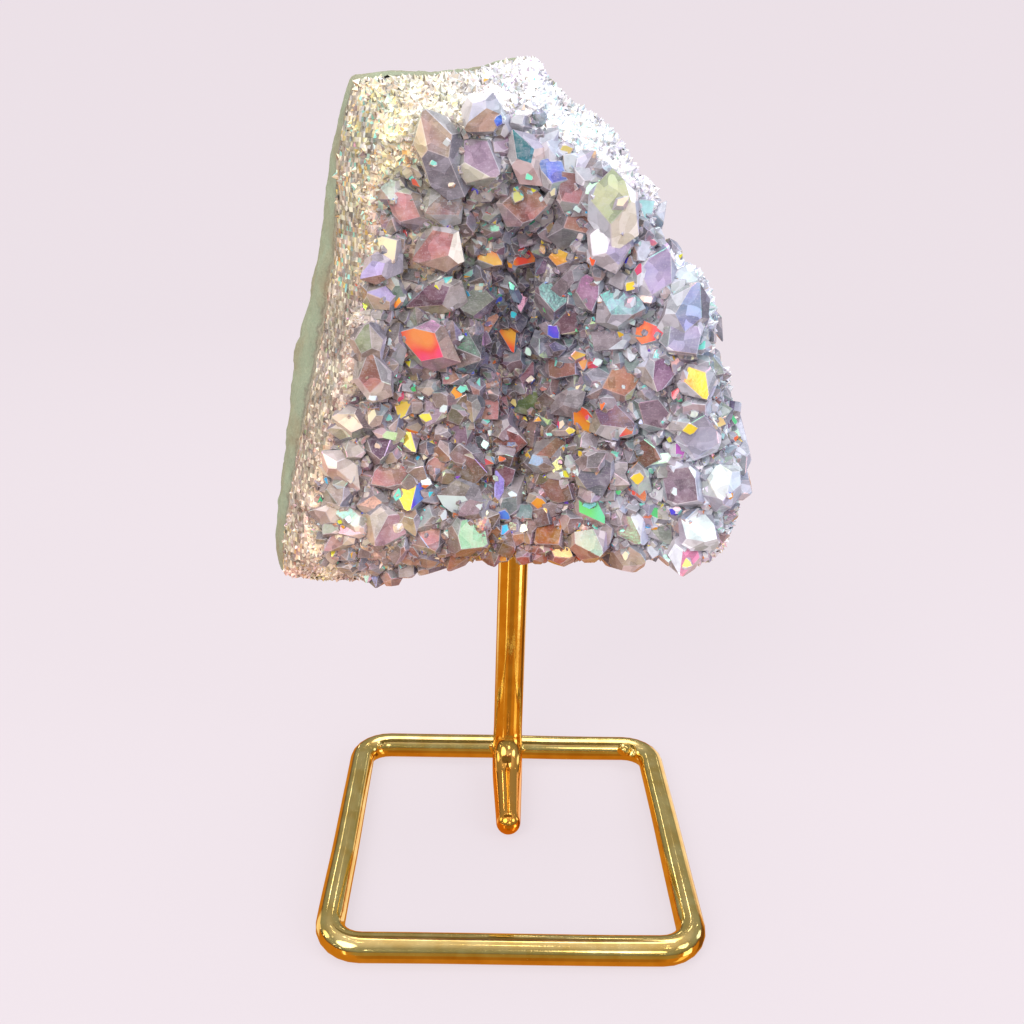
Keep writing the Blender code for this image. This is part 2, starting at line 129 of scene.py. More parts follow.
def new_material(name):
    """A material, its tree, its shader, and its place in millimetres for patterns."""
    made = bpy.data.materials.new(name)
    made.use_nodes = True
    tree = made.node_tree
    shader = tree.nodes["Principled BSDF"]
    place = add_node(tree, "ShaderNodeTexCoord")
    scaled = add_node(tree, "ShaderNodeMapping", {"Vector": place.outputs["Object"], "Scale": (1000, 1000, 1000)})
    return made, tree, shader, scaled.outputs["Vector"]


def noise_at(tree, place, per_mm, detail=3.0, roughness=0.5):
    made = add_node(tree, "ShaderNodeTexNoise",
                    {"Vector": place, "Scale": per_mm, "Detail": detail, "Roughness": roughness})
    return made.outputs["Fac"]


def spread(tree, value, low, high, to_low=0.0, to_high=1.0):
    made = add_node(tree, "ShaderNodeMapRange", {"Value": value, "From Min": low, "From Max": high,
                                                 "To Min": to_low, "To Max": to_high})
    return made.outputs["Result"]


def mixed(tree, share, first, second, blend="MIX"):
    made = add_node(tree, "ShaderNodeMix", data_type="RGBA", blend_type=blend)
    for socket, value in ((0, share), (6, first), (7, second)):
        if isinstance(value, bpy.types.NodeSocket):
            tree.links.new(value, made.inputs[socket])
        else:
            made.inputs[socket].default_value = value
    return made.outputs[2]


def bumped(tree, shader, height, strength, distance):
    bump = add_node(tree, "ShaderNodeBump", {"Height": height, "Strength": strength, "Distance": distance})
    tree.links.new(bump.outputs["Normal"], shader.inputs["Normal"])


def merged_copy(node):
    """A CAD node's triangles with their shared corners joined."""
    bm = bmesh.new()
    bm.from_mesh(frame["nodes"][node].data)
    bmesh.ops.remove_doubles(bm, verts=bm.verts, dist=MERGE)
    return bm


def add_piece(name, mesh, material, slot, *nodes):
    """A finished piece of the object: it rides on the root body and may stand for CAD nodes."""
    mesh.materials.clear()
    mesh.materials.append(material)
    mesh.name = name
    made = bpy.data.objects.new(name, mesh)
    bpy.context.scene.collection.objects.link(made)
    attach(made, "root")
    if nodes:
        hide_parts(*nodes)
    print(f"{name}: {sum(len(p.vertices) - 2 for p in mesh.polygons)} triangles")
    return made


def plain_mesh(source):
    """The evaluated object as a mesh of its own. The source is removed."""
    graph = bpy.context.evaluated_depsgraph_get()
    mesh = bpy.data.meshes.new_from_object(source.evaluated_get(graph))
    old = source.data
    bpy.data.objects.remove(source)
    if old.users == 0:
        (bpy.data.curves if isinstance(old, bpy.types.Curve) else bpy.data.meshes).remove(old)
    return mesh


# %% [markdown]
# ## Camera
# The photograph looks down on the stand from a hand's height. The camera's place was found by matching the ring's four
# corners, so the square of wire narrows towards the back as it does in the picture.

# %% Camera
CAMERA_PLACE = Vector((-2.9, -147.7, 110.9)) * MM
LOOK_DOWN, LOOK_RIGHT, TILT = 0.3593, 0.0284, 0.0313
LENS = 39.65

forward = Vector((math.sin(LOOK_RIGHT) * math.cos(LOOK_DOWN), math.cos(LOOK_RIGHT) * math.cos(LOOK_DOWN),
                  -math.sin(LOOK_DOWN)))
level = Vector((math.cos(LOOK_RIGHT), -math.sin(LOOK_RIGHT), 0.0))
steep = level.cross(forward)
right = level * math.cos(TILT) + steep * math.sin(TILT)
up = steep * math.cos(TILT) - level * math.sin(TILT)
camera_data = bpy.data.cameras.new("camera")
camera_data.lens = LENS
camera_data.sensor_width = 36
camera_data.clip_start = 1 * MM
camera = bpy.data.objects.new("camera", camera_data)
bpy.context.scene.collection.objects.link(camera)
camera.matrix_world = Matrix((
    (right.x, up.x, -forward.x, CAMERA_PLACE.x),
    (right.y, up.y, -forward.y, CAMERA_PLACE.y),
    (right.z, up.z, -forward.z, CAMERA_PLACE.z),
    (0, 0, 0, 1),
))
bpy.context.scene.camera = camera
bpy.context.scene.view_settings.view_transform = "Standard"
print("camera looks down by", round(math.degrees(LOOK_DOWN), 1), "degrees")

# %% [markdown]
# ## Floor
# The background is one even pale pink. A flat floor would end in a visible horizon, so the floor is a wide disc whose
# edge curves up like a shallow bowl. It is a profile turned about the vertical axis with a Screw modifier.

# %% Floor
FLOOR_COLOUR = tone("efe5eb")
FLOOR_GLOW = 0.79
FLOOR_FLAT = 420 * MM
FLOOR_CURVE = 380 * MM
FLOOR_WALL = 900 * MM

bm = bmesh.new()
profile = [(0.0, 0.0), (FLOOR_FLAT, 0.0)]
for k in range(1, 13):
    turn = math.pi / 2 * k / 12
    profile.append((FLOOR_FLAT + FLOOR_CURVE * math.sin(turn), FLOOR_CURVE * (1 - math.cos(turn))))
profile.append((FLOOR_FLAT + FLOOR_CURVE, FLOOR_WALL))
corners = [bm.verts.new((x, 0.0, z)) for x, z in profile]
for first, second in zip(corners, corners[1:]):
    bm.edges.new((first, second))
floor_mesh = bpy.data.meshes.new("floor")
bm.to_mesh(floor_mesh)
bm.free()
floor_profile = bpy.data.objects.new("floor_profile", floor_mesh)
bpy.context.scene.collection.objects.link(floor_profile)
turned = floor_profile.modifiers.new("turned", "SCREW")
turned.steps = turned.render_steps = 96
turned.merge_threshold = 0.0001
turned.use_merge_vertices = True
turned.use_normal_flip = True
floor_mesh = plain_mesh(floor_profile)
floor_mesh.shade_smooth()
floor = bpy.data.objects.new("floor", floor_mesh)
bpy.context.scene.collection.objects.link(floor)
floor_finish, tree, shader, place = new_material("pale_floor")
shader.inputs["Base Color"].default_value = opaque(FLOOR_COLOUR * 0.14)
shader.inputs["Roughness"].default_value = 0.9
shader.inputs["Specular IOR Level"].default_value = 0.0
shader.inputs["Emission Color"].default_value = opaque(FLOOR_COLOUR)
shader.inputs["Emission Strength"].default_value = FLOOR_GLOW
floor_finish.cycles.emission_sampling = "NONE"  # an even glow needs no aimed rays, and the picture is done sooner
floor.data.materials.clear()
floor.data.materials.append(floor_finish)
floor.visible_glossy = False
floor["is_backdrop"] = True
print("floor:", len(floor.data.polygons), "faces")

# %% [markdown]
# ## Light
# Polished metal and crystal faces show what they mirror, and matt surfaces show how much light falls on them. So the
# light comes from two places: large soft lamps that shade the rind and the floor, and a world that the glossy rays
# see. That world is a grey-green room with bright windows above and warm wood below, which is what gives the wire its
# olive tops and orange undersides.

# %% World and lamps
world = bpy.data.worlds.new("studio")
bpy.context.scene.world = world
world.use_nodes = True
world.cycles.sampling_method = "NONE"  # the even light needs no aimed rays either
tree = world.node_tree
background = tree.nodes["Background"]
direction = add_node(tree, "ShaderNodeTexCoord").outputs["Generated"]
height = add_node(tree, "ShaderNodeSeparateXYZ", {"Vector": direction}).outputs["Z"]
room = add_node(tree, "ShaderNodeValToRGB", {"Fac": spread(tree, height, -1, 1)})
room.color_ramp.elements[0].position = 0.0
room.color_ramp.elements[0].color = (0.62, 0.25, 0.03, 1)
room.color_ramp.elements[1].position = 1.0
room.color_ramp.elements[1].color = (0.95, 0.90, 0.95, 1)
for position, colour in ((0.46, (0.70, 0.29, 0.03, 1)), (0.495, (0.16, 0.07, 0.02, 1)),
                         (0.53, (0.20, 0.18, 0.16, 1)), (0.62, (0.34, 0.37, 0.33, 1)),
                         (0.80, (0.40, 0.41, 0.40, 1))):
    room.color_ramp.elements.new(position).color = colour


def window(seen, towards, size, edge, colour):
    """A bright patch round a direction, added to what was seen so far."""
    near = add_node(tree, "ShaderNodeVectorMath", {0: direction, 1: Vector(towards).normalized()},
                    operation="DOT_PRODUCT")
    low, high = math.cos(math.radians(size + edge)), math.cos(math.radians(size))
    return mixed(tree, spread(tree, near.outputs["Value"], low, high), seen, (*colour, 1.0), "ADD")


def upright(seen, bearing, width, edge, low, high, colour):
    """An upright bright strip: a bearing in degrees to the right of the front, and a range of heights."""
    flat = add_node(tree, "ShaderNodeVectorMath", {0: direction, 1: (1, 1, 0)}, operation="MULTIPLY")
    flat = add_node(tree, "ShaderNodeVectorMath", {0: flat.outputs["Vector"]}, operation="NORMALIZE")
    turn = math.radians(bearing)
    near = add_node(tree, "ShaderNodeVectorMath", {0: flat.outputs["Vector"], 1: (math.sin(turn), -math.cos(turn), 0)},
                    operation="DOT_PRODUCT")
    share = spread(tree, near.outputs["Value"], math.cos(math.radians(width + edge)), math.cos(math.radians(width)))
    under = spread(tree, height, low, low + 0.06)
    over = spread(tree, height, high + 0.06, high)
    for part in (under, over):
        share = add_node(tree, "ShaderNodeMath", {0: share, 1: part}, operation="MULTIPLY").outputs[0]
    return mixed(tree, share, seen, (*colour, 1.0))


seen = room.outputs["Color"]
for bearing, width, edge, low, high, colour in (
    (8, 26, 14, -0.42, 0.02, (0.42, 0.30, 0.11)),
    (2, 12, 10, -0.80, -0.42, (0.42, 0.19, 0.03)),
    (64, 9, 3, -0.46, -0.02, (3.0, 2.8, 1.9)),
    (58, 9, 4, -0.85, -0.50, (1.5, 0.95, 0.30)),
    (-38, 2.5, 1.5, -0.50, -0.10, (2.0, 1.6, 0.7)),
    (115, 14, 4, -0.70, -0.05, (0.22, 0.09, 0.02)),
    (-125, 9, 4, -0.50, 0.10, (1.2, 1.0, 0.7)),
    (150, 8, 4, -0.50, 0.10, (1.2, 1.0, 0.8)),
):
    seen = upright(seen, bearing, width, edge, low, high, colour)
for towards, size, edge, colour in (
    ((-0.6, -0.6, 0.75), 16, 3, (3.2, 3.1, 2.9)),
    ((0.75, -0.35, 0.6), 10, 2, (2.6, 2.8, 3.2)),
    ((0.1, 0.4, 1.0), 14, 4, (2.4, 2.4, 2.6)),
    ((-0.9, 0.1, 0.35), 9, 2, (2.2, 2.0, 1.6)),
    ((0.2, -0.9, 0.55), 7, 1, (3.0, 2.9, 2.8)),
    ((0.9, 0.3, 0.2), 8, 2, (1.6, 1.9, 2.2)),
):
    seen = window(seen, towards, size, edge, colour)
lamps = add_node(tree, "ShaderNodeTexVoronoi", {"Vector": direction, "Scale": 5.0})
lit = spread(tree, lamps.outputs["Distance"], 0.13, 0.10)
above = spread(tree, height, 0.0, 0.1)
lit = add_node(tree, "ShaderNodeMath", {0: lit, 1: above}, operation="MULTIPLY").outputs[0]
seen = mixed(tree, lit, seen, (7.0, 6.8, 6.6, 1.0), "ADD")
ray = add_node(tree, "ShaderNodeLightPath")
tree.links.new(mixed(tree, ray.outputs["Is Glossy Ray"], (0.62, 0.58, 0.60, 1.0), seen), background.inputs["Color"])


def soft_lamp(name, place, size, power, colour):
    """A square area lamp that faces the stone."""
    data = bpy.data.lights.new(name, "AREA")
    data.size = size
    data.energy = power
    data.color = colour
    lamp = bpy.data.objects.new(name, data)
    bpy.context.scene.collection.objects.link(lamp)
    lamp.location = place
    lamp.rotation_euler = (Vector((0, 0, 60 * MM)) - Vector(place)).to_track_quat("-Z", "Y").to_euler()
    lamp.visible_glossy = False
    return lamp


soft_lamp("key", (-0.30, -0.50, 0.50), 0.45, 4.6, (1.0, 0.97, 0.93))
soft_lamp("fill", (0.50, -0.35, 0.35), 0.40, 2.4, (0.90, 0.95, 1.0))
soft_lamp("top", (0.0, 0.15, 0.70), 0.60, 2.4, (1.0, 0.98, 1.0))

# %% [markdown]
# ## Gilt finish
# The wire is steel with a bright brass-coloured plating. Plating is all metal, so what matters is its colour and how
# sharp its mirror is. A little noise in the roughness and fine drawn lines keep it from looking like plastic.

# %% Gilt
def gilt_finish(name, painted_reflection_below=0.0):
    """Bright brass-coloured plating, with a painted orange reflection below a height in millimetres."""
    made, tree, shader, place = new_material(name)
    cloud = noise_at(tree, place, 0.35, 4.0)
    grain = noise_at(tree, place, 6.0, 2.0)
    plated = mixed(tree, spread(tree, cloud, 0.35, 0.65), opaque(tone("ecd28c")), opaque(tone("dfbb69")))
    if painted_reflection_below:
        height = add_node(tree, "ShaderNodeSeparateXYZ", {"Vector": place}).outputs["Z"]
        low = spread(tree, height, painted_reflection_below + 4.0, painted_reflection_below - 3.0, 0.0, 0.85)
        # painted reflection: near the foot the plating is tinted orange, as if it mirrored warm wood below
        plated = mixed(tree, low, plated, opaque(tone("ee9f35")))
    tree.links.new(plated, shader.inputs["Base Color"])
    shader.inputs["Metallic"].default_value = 1.0
    tree.links.new(spread(tree, grain, 0.3, 0.8, 0.06, 0.16), shader.inputs["Roughness"])
    bumped(tree, shader, noise_at(tree, place, 1.6, 3.0), 0.12, 0.00006)
    return made


gilt = gilt_finish("gilt_wire")
# the rod's plating gets a painted orange reflection below 7 mm
gilt_foot = gilt_finish("gilt_rod", 7.0)
print("gilt finishes made")

# %% [markdown]
# ## Ring
# The ring is one wire bent round four corners, so it follows a rule: a rounded square with a round section. Geometry
# Nodes have just these steps: a quadrilateral, a fillet, and a circle swept along the curve. The sizes are inputs.

# %% Ring
ring_low, ring_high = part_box("base_ring")
WIRE = 4.0 * MM
RING_SIDE = 50.0 * MM
RING_BEND = 4.6 * MM
ring_centre = Vector((ring_low.x + (RING_SIDE + WIRE) / 2, ring_low.y + (RING_SIDE + WIRE) / 2, 0.0))


def group_with(name, *inputs):
    """An empty Geometry Nodes group with named inputs, and the identifier of each."""
    group = bpy.data.node_groups.new(name, "GeometryNodeTree")
    group.interface.new_socket("Geometry", in_out="INPUT", socket_type="NodeSocketGeometry")
    group.interface.new_socket("Geometry", in_out="OUTPUT", socket_type="NodeSocketGeometry")
    names = {}
    for label, kind in inputs:
        names[label] = group.interface.new_socket(label, in_out="INPUT", socket_type=kind).identifier
    return group, names, group.nodes.new("NodeGroupInput"), group.nodes.new("NodeGroupOutput")


tree, sockets, given, result = group_with(
    "bent_wire_ring", ("Side", "NodeSocketFloat"), ("Bend", "NodeSocketFloat"), ("Wire", "NodeSocketFloat"),
    ("Finish", "NodeSocketMaterial"))
square = add_node(tree, "GeometryNodeCurvePrimitiveQuadrilateral",
                  {"Width": given.outputs["Side"], "Height": given.outputs["Side"]})
fillet = add_node(tree, "GeometryNodeFilletCurve", {"Curve": square.outputs[0], "Radius": given.outputs["Bend"]})
if "Mode" in fillet.inputs:
    fillet.inputs["Mode"].default_value = "Poly"
    fillet.inputs["Count"].default_value = 12
else:
    fillet.mode = "POLY"
    fillet.inputs["Count"].default_value = 12
half_wire = add_node(tree, "ShaderNodeMath", {0: given.outputs["Wire"], 1: 0.5}, operation="MULTIPLY")
section = add_node(tree, "GeometryNodeCurvePrimitiveCircle", {"Resolution": 32, "Radius": half_wire.outputs[0]})
denser = add_node(tree, "GeometryNodeResampleCurve", {"Curve": fillet.outputs[0], "Count": 160})
swept = add_node(tree, "GeometryNodeCurveToMesh", {"Curve": denser.outputs[0], "Profile Curve": section.outputs[0]})
placed = add_node(tree, "GeometryNodeTransform", {"Geometry": swept.outputs[0],
                                                  "Translation": (*ring_centre.xy, WIRE / 2)})
realized = add_node(tree, "GeometryNodeRealizeInstances", {"Geometry": placed.outputs[0]})
finished = add_node(tree, "GeometryNodeSetMaterial", {"Geometry": realized.outputs[0],
                                                      "Material": given.outputs["Finish"]})
tree.links.new(finished.outputs[0], result.inputs[0])
ring_host = bpy.data.objects.new("ring_host", bpy.data.meshes.new("ring_host"))
bpy.context.scene.collection.objects.link(ring_host)
modifier = ring_host.modifiers.new("wire", "NODES")
modifier.node_group = tree
for label, value in (("Side", RING_SIDE), ("Bend", RING_BEND), ("Wire", WIRE), ("Finish", gilt)):
    modifier[sockets[label]] = value
ring_mesh = plain_mesh(ring_host)
print("ring:", len(ring_mesh.vertices), "points,", len(ring_mesh.polygons), "faces")


# %% Ring with its seams
# noise_vector starts from the clock unless it has a seed, and the wire would differ in each run
noise.seed_set(17)


def tidy_tube(mesh, wander):
    """Joins seams, turns faces outwards and lets the wire wander a little, as hand-bent wire does."""
    bm = bmesh.new()
    bm.from_mesh(mesh)
    bmesh.ops.remove_doubles(bm, verts=bm.verts, dist=MERGE)
    for vertex in bm.verts:
        sway = noise.noise_vector(vertex.co / (17 * MM))
        vertex.co += Vector((sway.x, sway.y, 0.0)) * wander
    bmesh.ops.recalc_face_normals(bm, faces=bm.faces)
    bm.to_mesh(mesh)
    bm.free()
    mesh.shade_smooth()
    return mesh


ring_mesh = tidy_tube(ring_mesh, 0.15 * MM)
print("ring smoothed:", len(ring_mesh.vertices), "points")

# %% [markdown]
# ## Welds
# The ends of the ring's wire meet in a back corner, and the rod is welded to the back bar. The plating has run over
# these places and left small uneven drops. Each drop is a ball pressed out of round by noise, half sunk in the wire.

# %% Welds
back_bar = ring_centre.y + RING_SIDE / 2
rod_side_low, rod_side_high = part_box("upright_rod")
rod_middle = (rod_side_low.x + rod_side_high.x) / 2
WELDS = (
    (ring_centre.x + 20.6 * MM, back_bar - 1.7 * MM, 2.9 * MM, 1.15), (ring_centre.x + 22.0 * MM, back_bar - 2.1 * MM,
                                                                     2.3 * MM, 0.9),
    (ring_centre.x - 22.6 * MM, back_bar - 1.6 * MM, 3.0 * MM, 0.8), (rod_middle - 2.3 * MM, back_bar - 1.0 * MM,
                                                                    2.6 * MM, 1.1),
    (rod_middle + 2.4 * MM, back_bar - 1.0 * MM, 2.5 * MM, 1.2),
)
bm = bmesh.new()
bm.from_mesh(ring_mesh)
for x, y, z, size in WELDS:
    drop = bmesh.ops.create_icosphere(bm, subdivisions=4, radius=size * MM, matrix=Matrix.Translation((x, y, z)))
    for vertex in drop["verts"]:
        out = (vertex.co - Vector((x, y, z))).normalized()
        vertex.co += out * size * 0.28 * MM * noise.noise(vertex.co / (0.9 * MM))
        vertex.co.z = max(vertex.co.z, 0.2 * MM)
bm.to_mesh(ring_mesh)
bm.free()
ring_mesh.shade_smooth()
ring = add_piece("wire_ring", ring_mesh, gilt, "gilt_wire", "base_ring")

# %% [markdown]
# ## Rod
# The rod comes down out of the stone, turns forward in a tight bend and ends in a rounded foot between the ring's
# bars. A curve with a bevel makes it: each point of the curve has its own thickness, so the bend can swell slightly,
# as bent rod does, and the sheared end can taper.

# %% Rod
rod_low, rod_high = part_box("upright_rod")
ROD = 4.8 * MM
ROD_BEND = 6.5 * MM
FOOT_SCALE = 0.80
rod_x = (rod_low.x + rod_high.x) / 2
rod_y = rod_high.y - ROD / 2
foot_tip = rod_low.y

path = [(Vector((rod_x, rod_y, rod_high.z - 0.1 * MM)), 0.8), (Vector((rod_x, rod_y, rod_high.z - 1.0 * MM)), 1.0)]
rod_straight = rod_high.z - ROD / 2 - ROD_BEND
for k in range(1, 31):
    drop = rod_straight * k / 30
    path.append((Vector((rod_x, rod_y, rod_high.z - 1.0 * MM - drop * (1 - 1.0 * MM / rod_straight))), 1.0))
for k in range(1, 19):
    turn = math.pi / 2 * k / 18
    path.append((Vector((rod_x, rod_y - ROD_BEND * (1 - math.cos(turn)),
                         ROD / 2 + ROD_BEND * (1 - math.sin(turn)))), 1.0 + 0.05 * math.sin(math.pi * k / 18)))
tip_radius = ROD / 2 * FOOT_SCALE
foot_start = rod_y - ROD_BEND
for k in range(1, 11):
    share = k / 10
    run = foot_start + (foot_tip + tip_radius - foot_start) * share
    path.append((Vector((rod_x, run, ROD / 2)), 1.0 + (FOOT_SCALE - 1.0) * share))
for k in range(1, 10):
    turn = math.radians(88) * k / 9
    path.append((Vector((rod_x, foot_tip + tip_radius * (1 - math.sin(turn)), ROD / 2)), FOOT_SCALE * math.cos(turn)))

curve = bpy.data.curves.new("rod", "CURVE")
curve.dimensions = "3D"
curve.bevel_depth = ROD / 2
curve.bevel_resolution = 14
curve.use_fill_caps = True
curve.twist_mode = "MINIMUM"
spline = curve.splines.new("POLY")
spline.points.add(len(path) - 1)
for target, (point, scale) in zip(spline.points, path):
    target.co = (*point, 1.0)
    target.radius = scale
rod_host = bpy.data.objects.new("rod_host", curve)
bpy.context.scene.collection.objects.link(rod_host)
rod = add_piece("stand_rod", tidy_tube(plain_mesh(rod_host), 0.0), gilt_foot, "gilt_wire", "upright_rod")

# %% [markdown]
# ## Rind
# The geode's outside is old, rounded rock with pits and low lumps. The CAD block has its outline and its drilled hole,
# with large flats. A voxel Remesh turns the flats into an even skin of small faces, a few rounds of smoothing take the
# edges off, and then each point moves in or out by layered noise. The side that touches the crust stays where it is.

# %% Rock block
VOXEL = 0.62 * MM
block = merged_copy("rock_matrix")
block_mesh = bpy.data.meshes.new("rock_block")
block.to_mesh(block_mesh)
block.free()
rock_host = bpy.data.objects.new("rock_host", block_mesh)
bpy.context.scene.collection.objects.link(rock_host)
remesh = rock_host.modifiers.new("even_skin", "REMESH")
remesh.mode = "VOXEL"
remesh.voxel_size = VOXEL
remesh.use_smooth_shade = True
calm = rock_host.modifiers.new("calm", "SMOOTH")
calm.factor = 0.5
calm.iterations = 6
rock_mesh = plain_mesh(rock_host)
print("rock skin:", len(rock_mesh.polygons), "faces")

# %% Rock lumps and pits
crust_low, crust_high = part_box("crystal_crust")
crust_bm = merged_copy("crystal_crust")
crust_tree = BVHTree.FromBMesh(crust_bm)
rod_axis = Vector((rod_x, rod_y))


def rock_relief(point):
    """How far the skin stands out at a point, in metres: lumps, small knobs and pits."""
    lumps = noise.fractal(point / (7.0 * MM), 0.9, 2.1, 4)
    knobs = noise.fractal(point / (1.8 * MM), 0.8, 2.0, 3)
    pits = max(0.0, noise.noise(point / (2.6 * MM) + Vector((9, 4, 1))) - 0.38)
    return (0.45 * lumps + 0.16 * knobs - 1.5 * pits) * MM


bm = bmesh.new()
bm.from_mesh(rock_mesh)
bm.normal_update()
band = bm.verts.layers.float.new("behind_crust")
moves = []
for vertex in bm.verts:
    near, _, _, away = crust_tree.find_nearest(vertex.co, 12 * MM)
    away = 12 * MM if near is None else away
    vertex[band] = min(away / (12 * MM), 1.0)
    hold = min(max((away - 0.5 * MM) / (1.6 * MM), 0.0), 1.0)
    at_rod = (vertex.co.xy - rod_axis).length < ROD and vertex.co.z < rod_high.z + 2 * MM
    moves.append(vertex.normal * rock_relief(vertex.co) * (0.0 if at_rod else hold))
for vertex, move in zip(bm.verts, moves):
    vertex.co += move
bmesh.ops.recalc_face_normals(bm, faces=bm.faces)
bm.to_mesh(rock_mesh)
bm.free()
rock_mesh.shade_smooth()

# %% [markdown]
# ## Rind finish
# Next to the crystals lies a pale band of chalcedony and fine quartz, then a dark seam, and outside it the rind:
# grey-green where clay minerals line the old lava bubble, brown where iron has stained it. The band is painted by the
# distance from the crust, which the last step stored on each point, and noise bends its edges.

# %% Rock material
rock_finish, tree, shader, place = new_material("rind")
away = add_node(tree, "ShaderNodeAttribute", attribute_name="behind_crust").outputs["Fac"]
wave = noise_at(tree, place, 0.5, 4.0, 0.6)
bent = add_node(tree, "ShaderNodeMath", {0: away, 1: spread(tree, wave, 0.2, 0.8, -0.07, 0.07)}, operation="ADD")
layers = add_node(tree, "ShaderNodeValToRGB", {"Fac": bent.outputs[0]})
layers.color_ramp.elements[0].position = 0.0
layers.color_ramp.elements[0].color = opaque(tone("a3937a"))
layers.color_ramp.elements[1].position = 1.0
layers.color_ramp.elements[1].color = opaque(tone("83896f"))
for position, colour in ((0.03, "6f675c"), (0.05, "9a9282"), (0.08, "6b665a"), (0.12, "84907a"), (0.30, "8c9a80")):
    layers.color_ramp.elements.new(position).color = opaque(tone(colour))
iron = mixed(tree, spread(tree, noise_at(tree, place, 0.16, 5.0), 0.46, 0.80), layers.outputs["Color"],
             opaque(tone("8a7354")))
mottled = mixed(tree, spread(tree, noise_at(tree, place, 1.8, 6.0, 0.7), 0.35, 0.75, 0.0, 0.6), iron,
                opaque(tone("a3a78c")))
dust = mixed(tree, spread(tree, noise_at(tree, place, 6.0, 3.0), 0.55, 0.75, 0.0, 0.45), mottled,
             opaque(tone("5b5b4c")))
tree.links.new(dust, shader.inputs["Base Color"])
tree.links.new(spread(tree, wave, 0.3, 0.7, 0.62, 0.88), shader.inputs["Roughness"])
bumped(tree, shader, noise_at(tree, place, 3.5, 6.0, 0.65), 0.6, 0.0003)
rock = add_piece("geode_rind", rock_mesh, rock_finish, "rind", "rock_matrix")

# %% [markdown]
# ## Bed of the crust
# On the real stone the crystals stand shoulder to shoulder on a layer of solid quartz. The construction model has that
# layer and its largest points as one plain body. Here it becomes a soft bed: a voxel Remesh gives it an even skin,
# smoothing melts its points to low mounds, and the middle sinks by a millimetre. The finer crystals that follow then
# stand as high as the plain ones did. A plain smooth surface would show between them, so the skin keeps a fine grain.

# %% Shape of the rim
STONE_CENTRE = Vector((-0.7, 0.0, 80.0)) * MM
FIELD_EDGE = {0: 0.97, 30: 0.96, 60: 0.88, 80: 0.80, 103: 0.82, 119: 0.68, 150: 0.72, 206: 0.76, 230: 0.82, 250: 0.95,
              315: 0.97}
RIM_STEP = 7.5

rim_reach = {}
for vertex in crust_bm.verts:
    offset = vertex.co - STONE_CENTRE
    step = round(math.degrees(math.atan2(offset.z, offset.x)) / RIM_STEP) % round(360 / RIM_STEP)
    rim_reach[step] = max(rim_reach.get(step, 0.0), math.hypot(offset.x, offset.z))


def rim_share(points):
    """0 in the middle of the face and 1 at the crust's rim, for an array of places."""
    offset = np.asarray(points) - np.array(STONE_CENTRE)
    angle = np.degrees(np.arctan2(offset[:, 2], offset[:, 0]))
    reach = np.interp(angle, [k * RIM_STEP for k in rim_reach], list(rim_reach.values()), period=360)
    return np.hypot(offset[:, 0], offset[:, 2]) / reach


def field_share(points):
    """1 among the large crystals, 0 on the fine-grained rim."""
    offset = np.asarray(points) - np.array(STONE_CENTRE)
    angle = np.degrees(np.arctan2(offset[:, 2], offset[:, 0]))
    edge = np.interp(angle, list(FIELD_EDGE), list(FIELD_EDGE.values()), period=360)
    return np.clip((edge + 0.04 - rim_share(points)) / 0.08, 0.0, 1.0)


SEAM = 3.4 * MM
rock_bm = merged_copy("rock_matrix")
rock_tree = BVHTree.FromBMesh(rock_bm)
rock_bm.free()


def seam_share(points, normals):
    """1 on the bare seam along the rind at the left, 0 elsewhere. Noise frays its edge."""
    share = np.zeros(len(points))
    for k in np.flatnonzero(normals[:, 0] < -0.45):
        point = Vector(points[k])
        away = rock_tree.find_nearest(point)[3]
        share[k] = min(max(1.4 - away / SEAM + 0.6 * noise.noise(point / (1.6 * MM)), 0.0), 1.0)
    return share


print("crust reaches", round(max(rim_reach.values()) / MM, 1), "mm from the middle")

# %% Bed
BED_VOXEL = 0.6 * MM
FIELD_SINK = 1.0 * MM
BED_GRAIN = 0.16 * MM

bed_source = bpy.data.meshes.new("bed_source")
crust_bm.to_mesh(bed_source)
crust_bm.free()
bed_host = bpy.data.objects.new("bed_host", bed_source)
bpy.context.scene.collection.objects.link(bed_host)
remesh = bed_host.modifiers.new("even_skin", "REMESH")
remesh.mode = "VOXEL"
remesh.voxel_size = BED_VOXEL
bed_mesh = plain_mesh(bed_host)
bm = bmesh.new()
bm.from_mesh(bed_mesh)
bm.normal_update()
fields = field_share([v.co for v in bm.verts])
melting = [v for v, share in zip(bm.verts, fields) if share > 0 and v.normal.y < 0.3]
for _ in range(14):
    bmesh.ops.smooth_vert(bm, verts=melting, factor=0.5, use_axis_x=True, use_axis_y=True, use_axis_z=True)
for _ in range(2):
    bmesh.ops.smooth_vert(bm, verts=bm.verts, factor=0.5, use_axis_x=True, use_axis_y=True, use_axis_z=True)
bm.normal_update()
fields = field_share([v.co for v in bm.verts])
for vertex, share in zip(bm.verts, fields):
    if vertex.normal.y < 0.0:
        vertex.co.y += FIELD_SINK * share
for vertex in bm.verts:
    vertex.co += vertex.normal * BED_GRAIN * noise.fractal(vertex.co / (1.1 * MM), 0.8, 2.0, 3)
bm.to_mesh(bed_mesh)
bed_tree = BVHTree.FromBMesh(bm)
bm.free()
print("bed:", len(bed_mesh.polygons), "faces")

# %% [markdown]
# ## One quartz point
# A quartz crystal ends in six faces that lean 51.8 degrees from its axis. In amethyst three of them are large and three
# are small, which gives the blunt, three-cornered tips of a druse. A six-sided prism is cut by one plane for each end
# face, so every point is a true crystal form and no two are the same. A narrow chamfer on its edges catches the light.

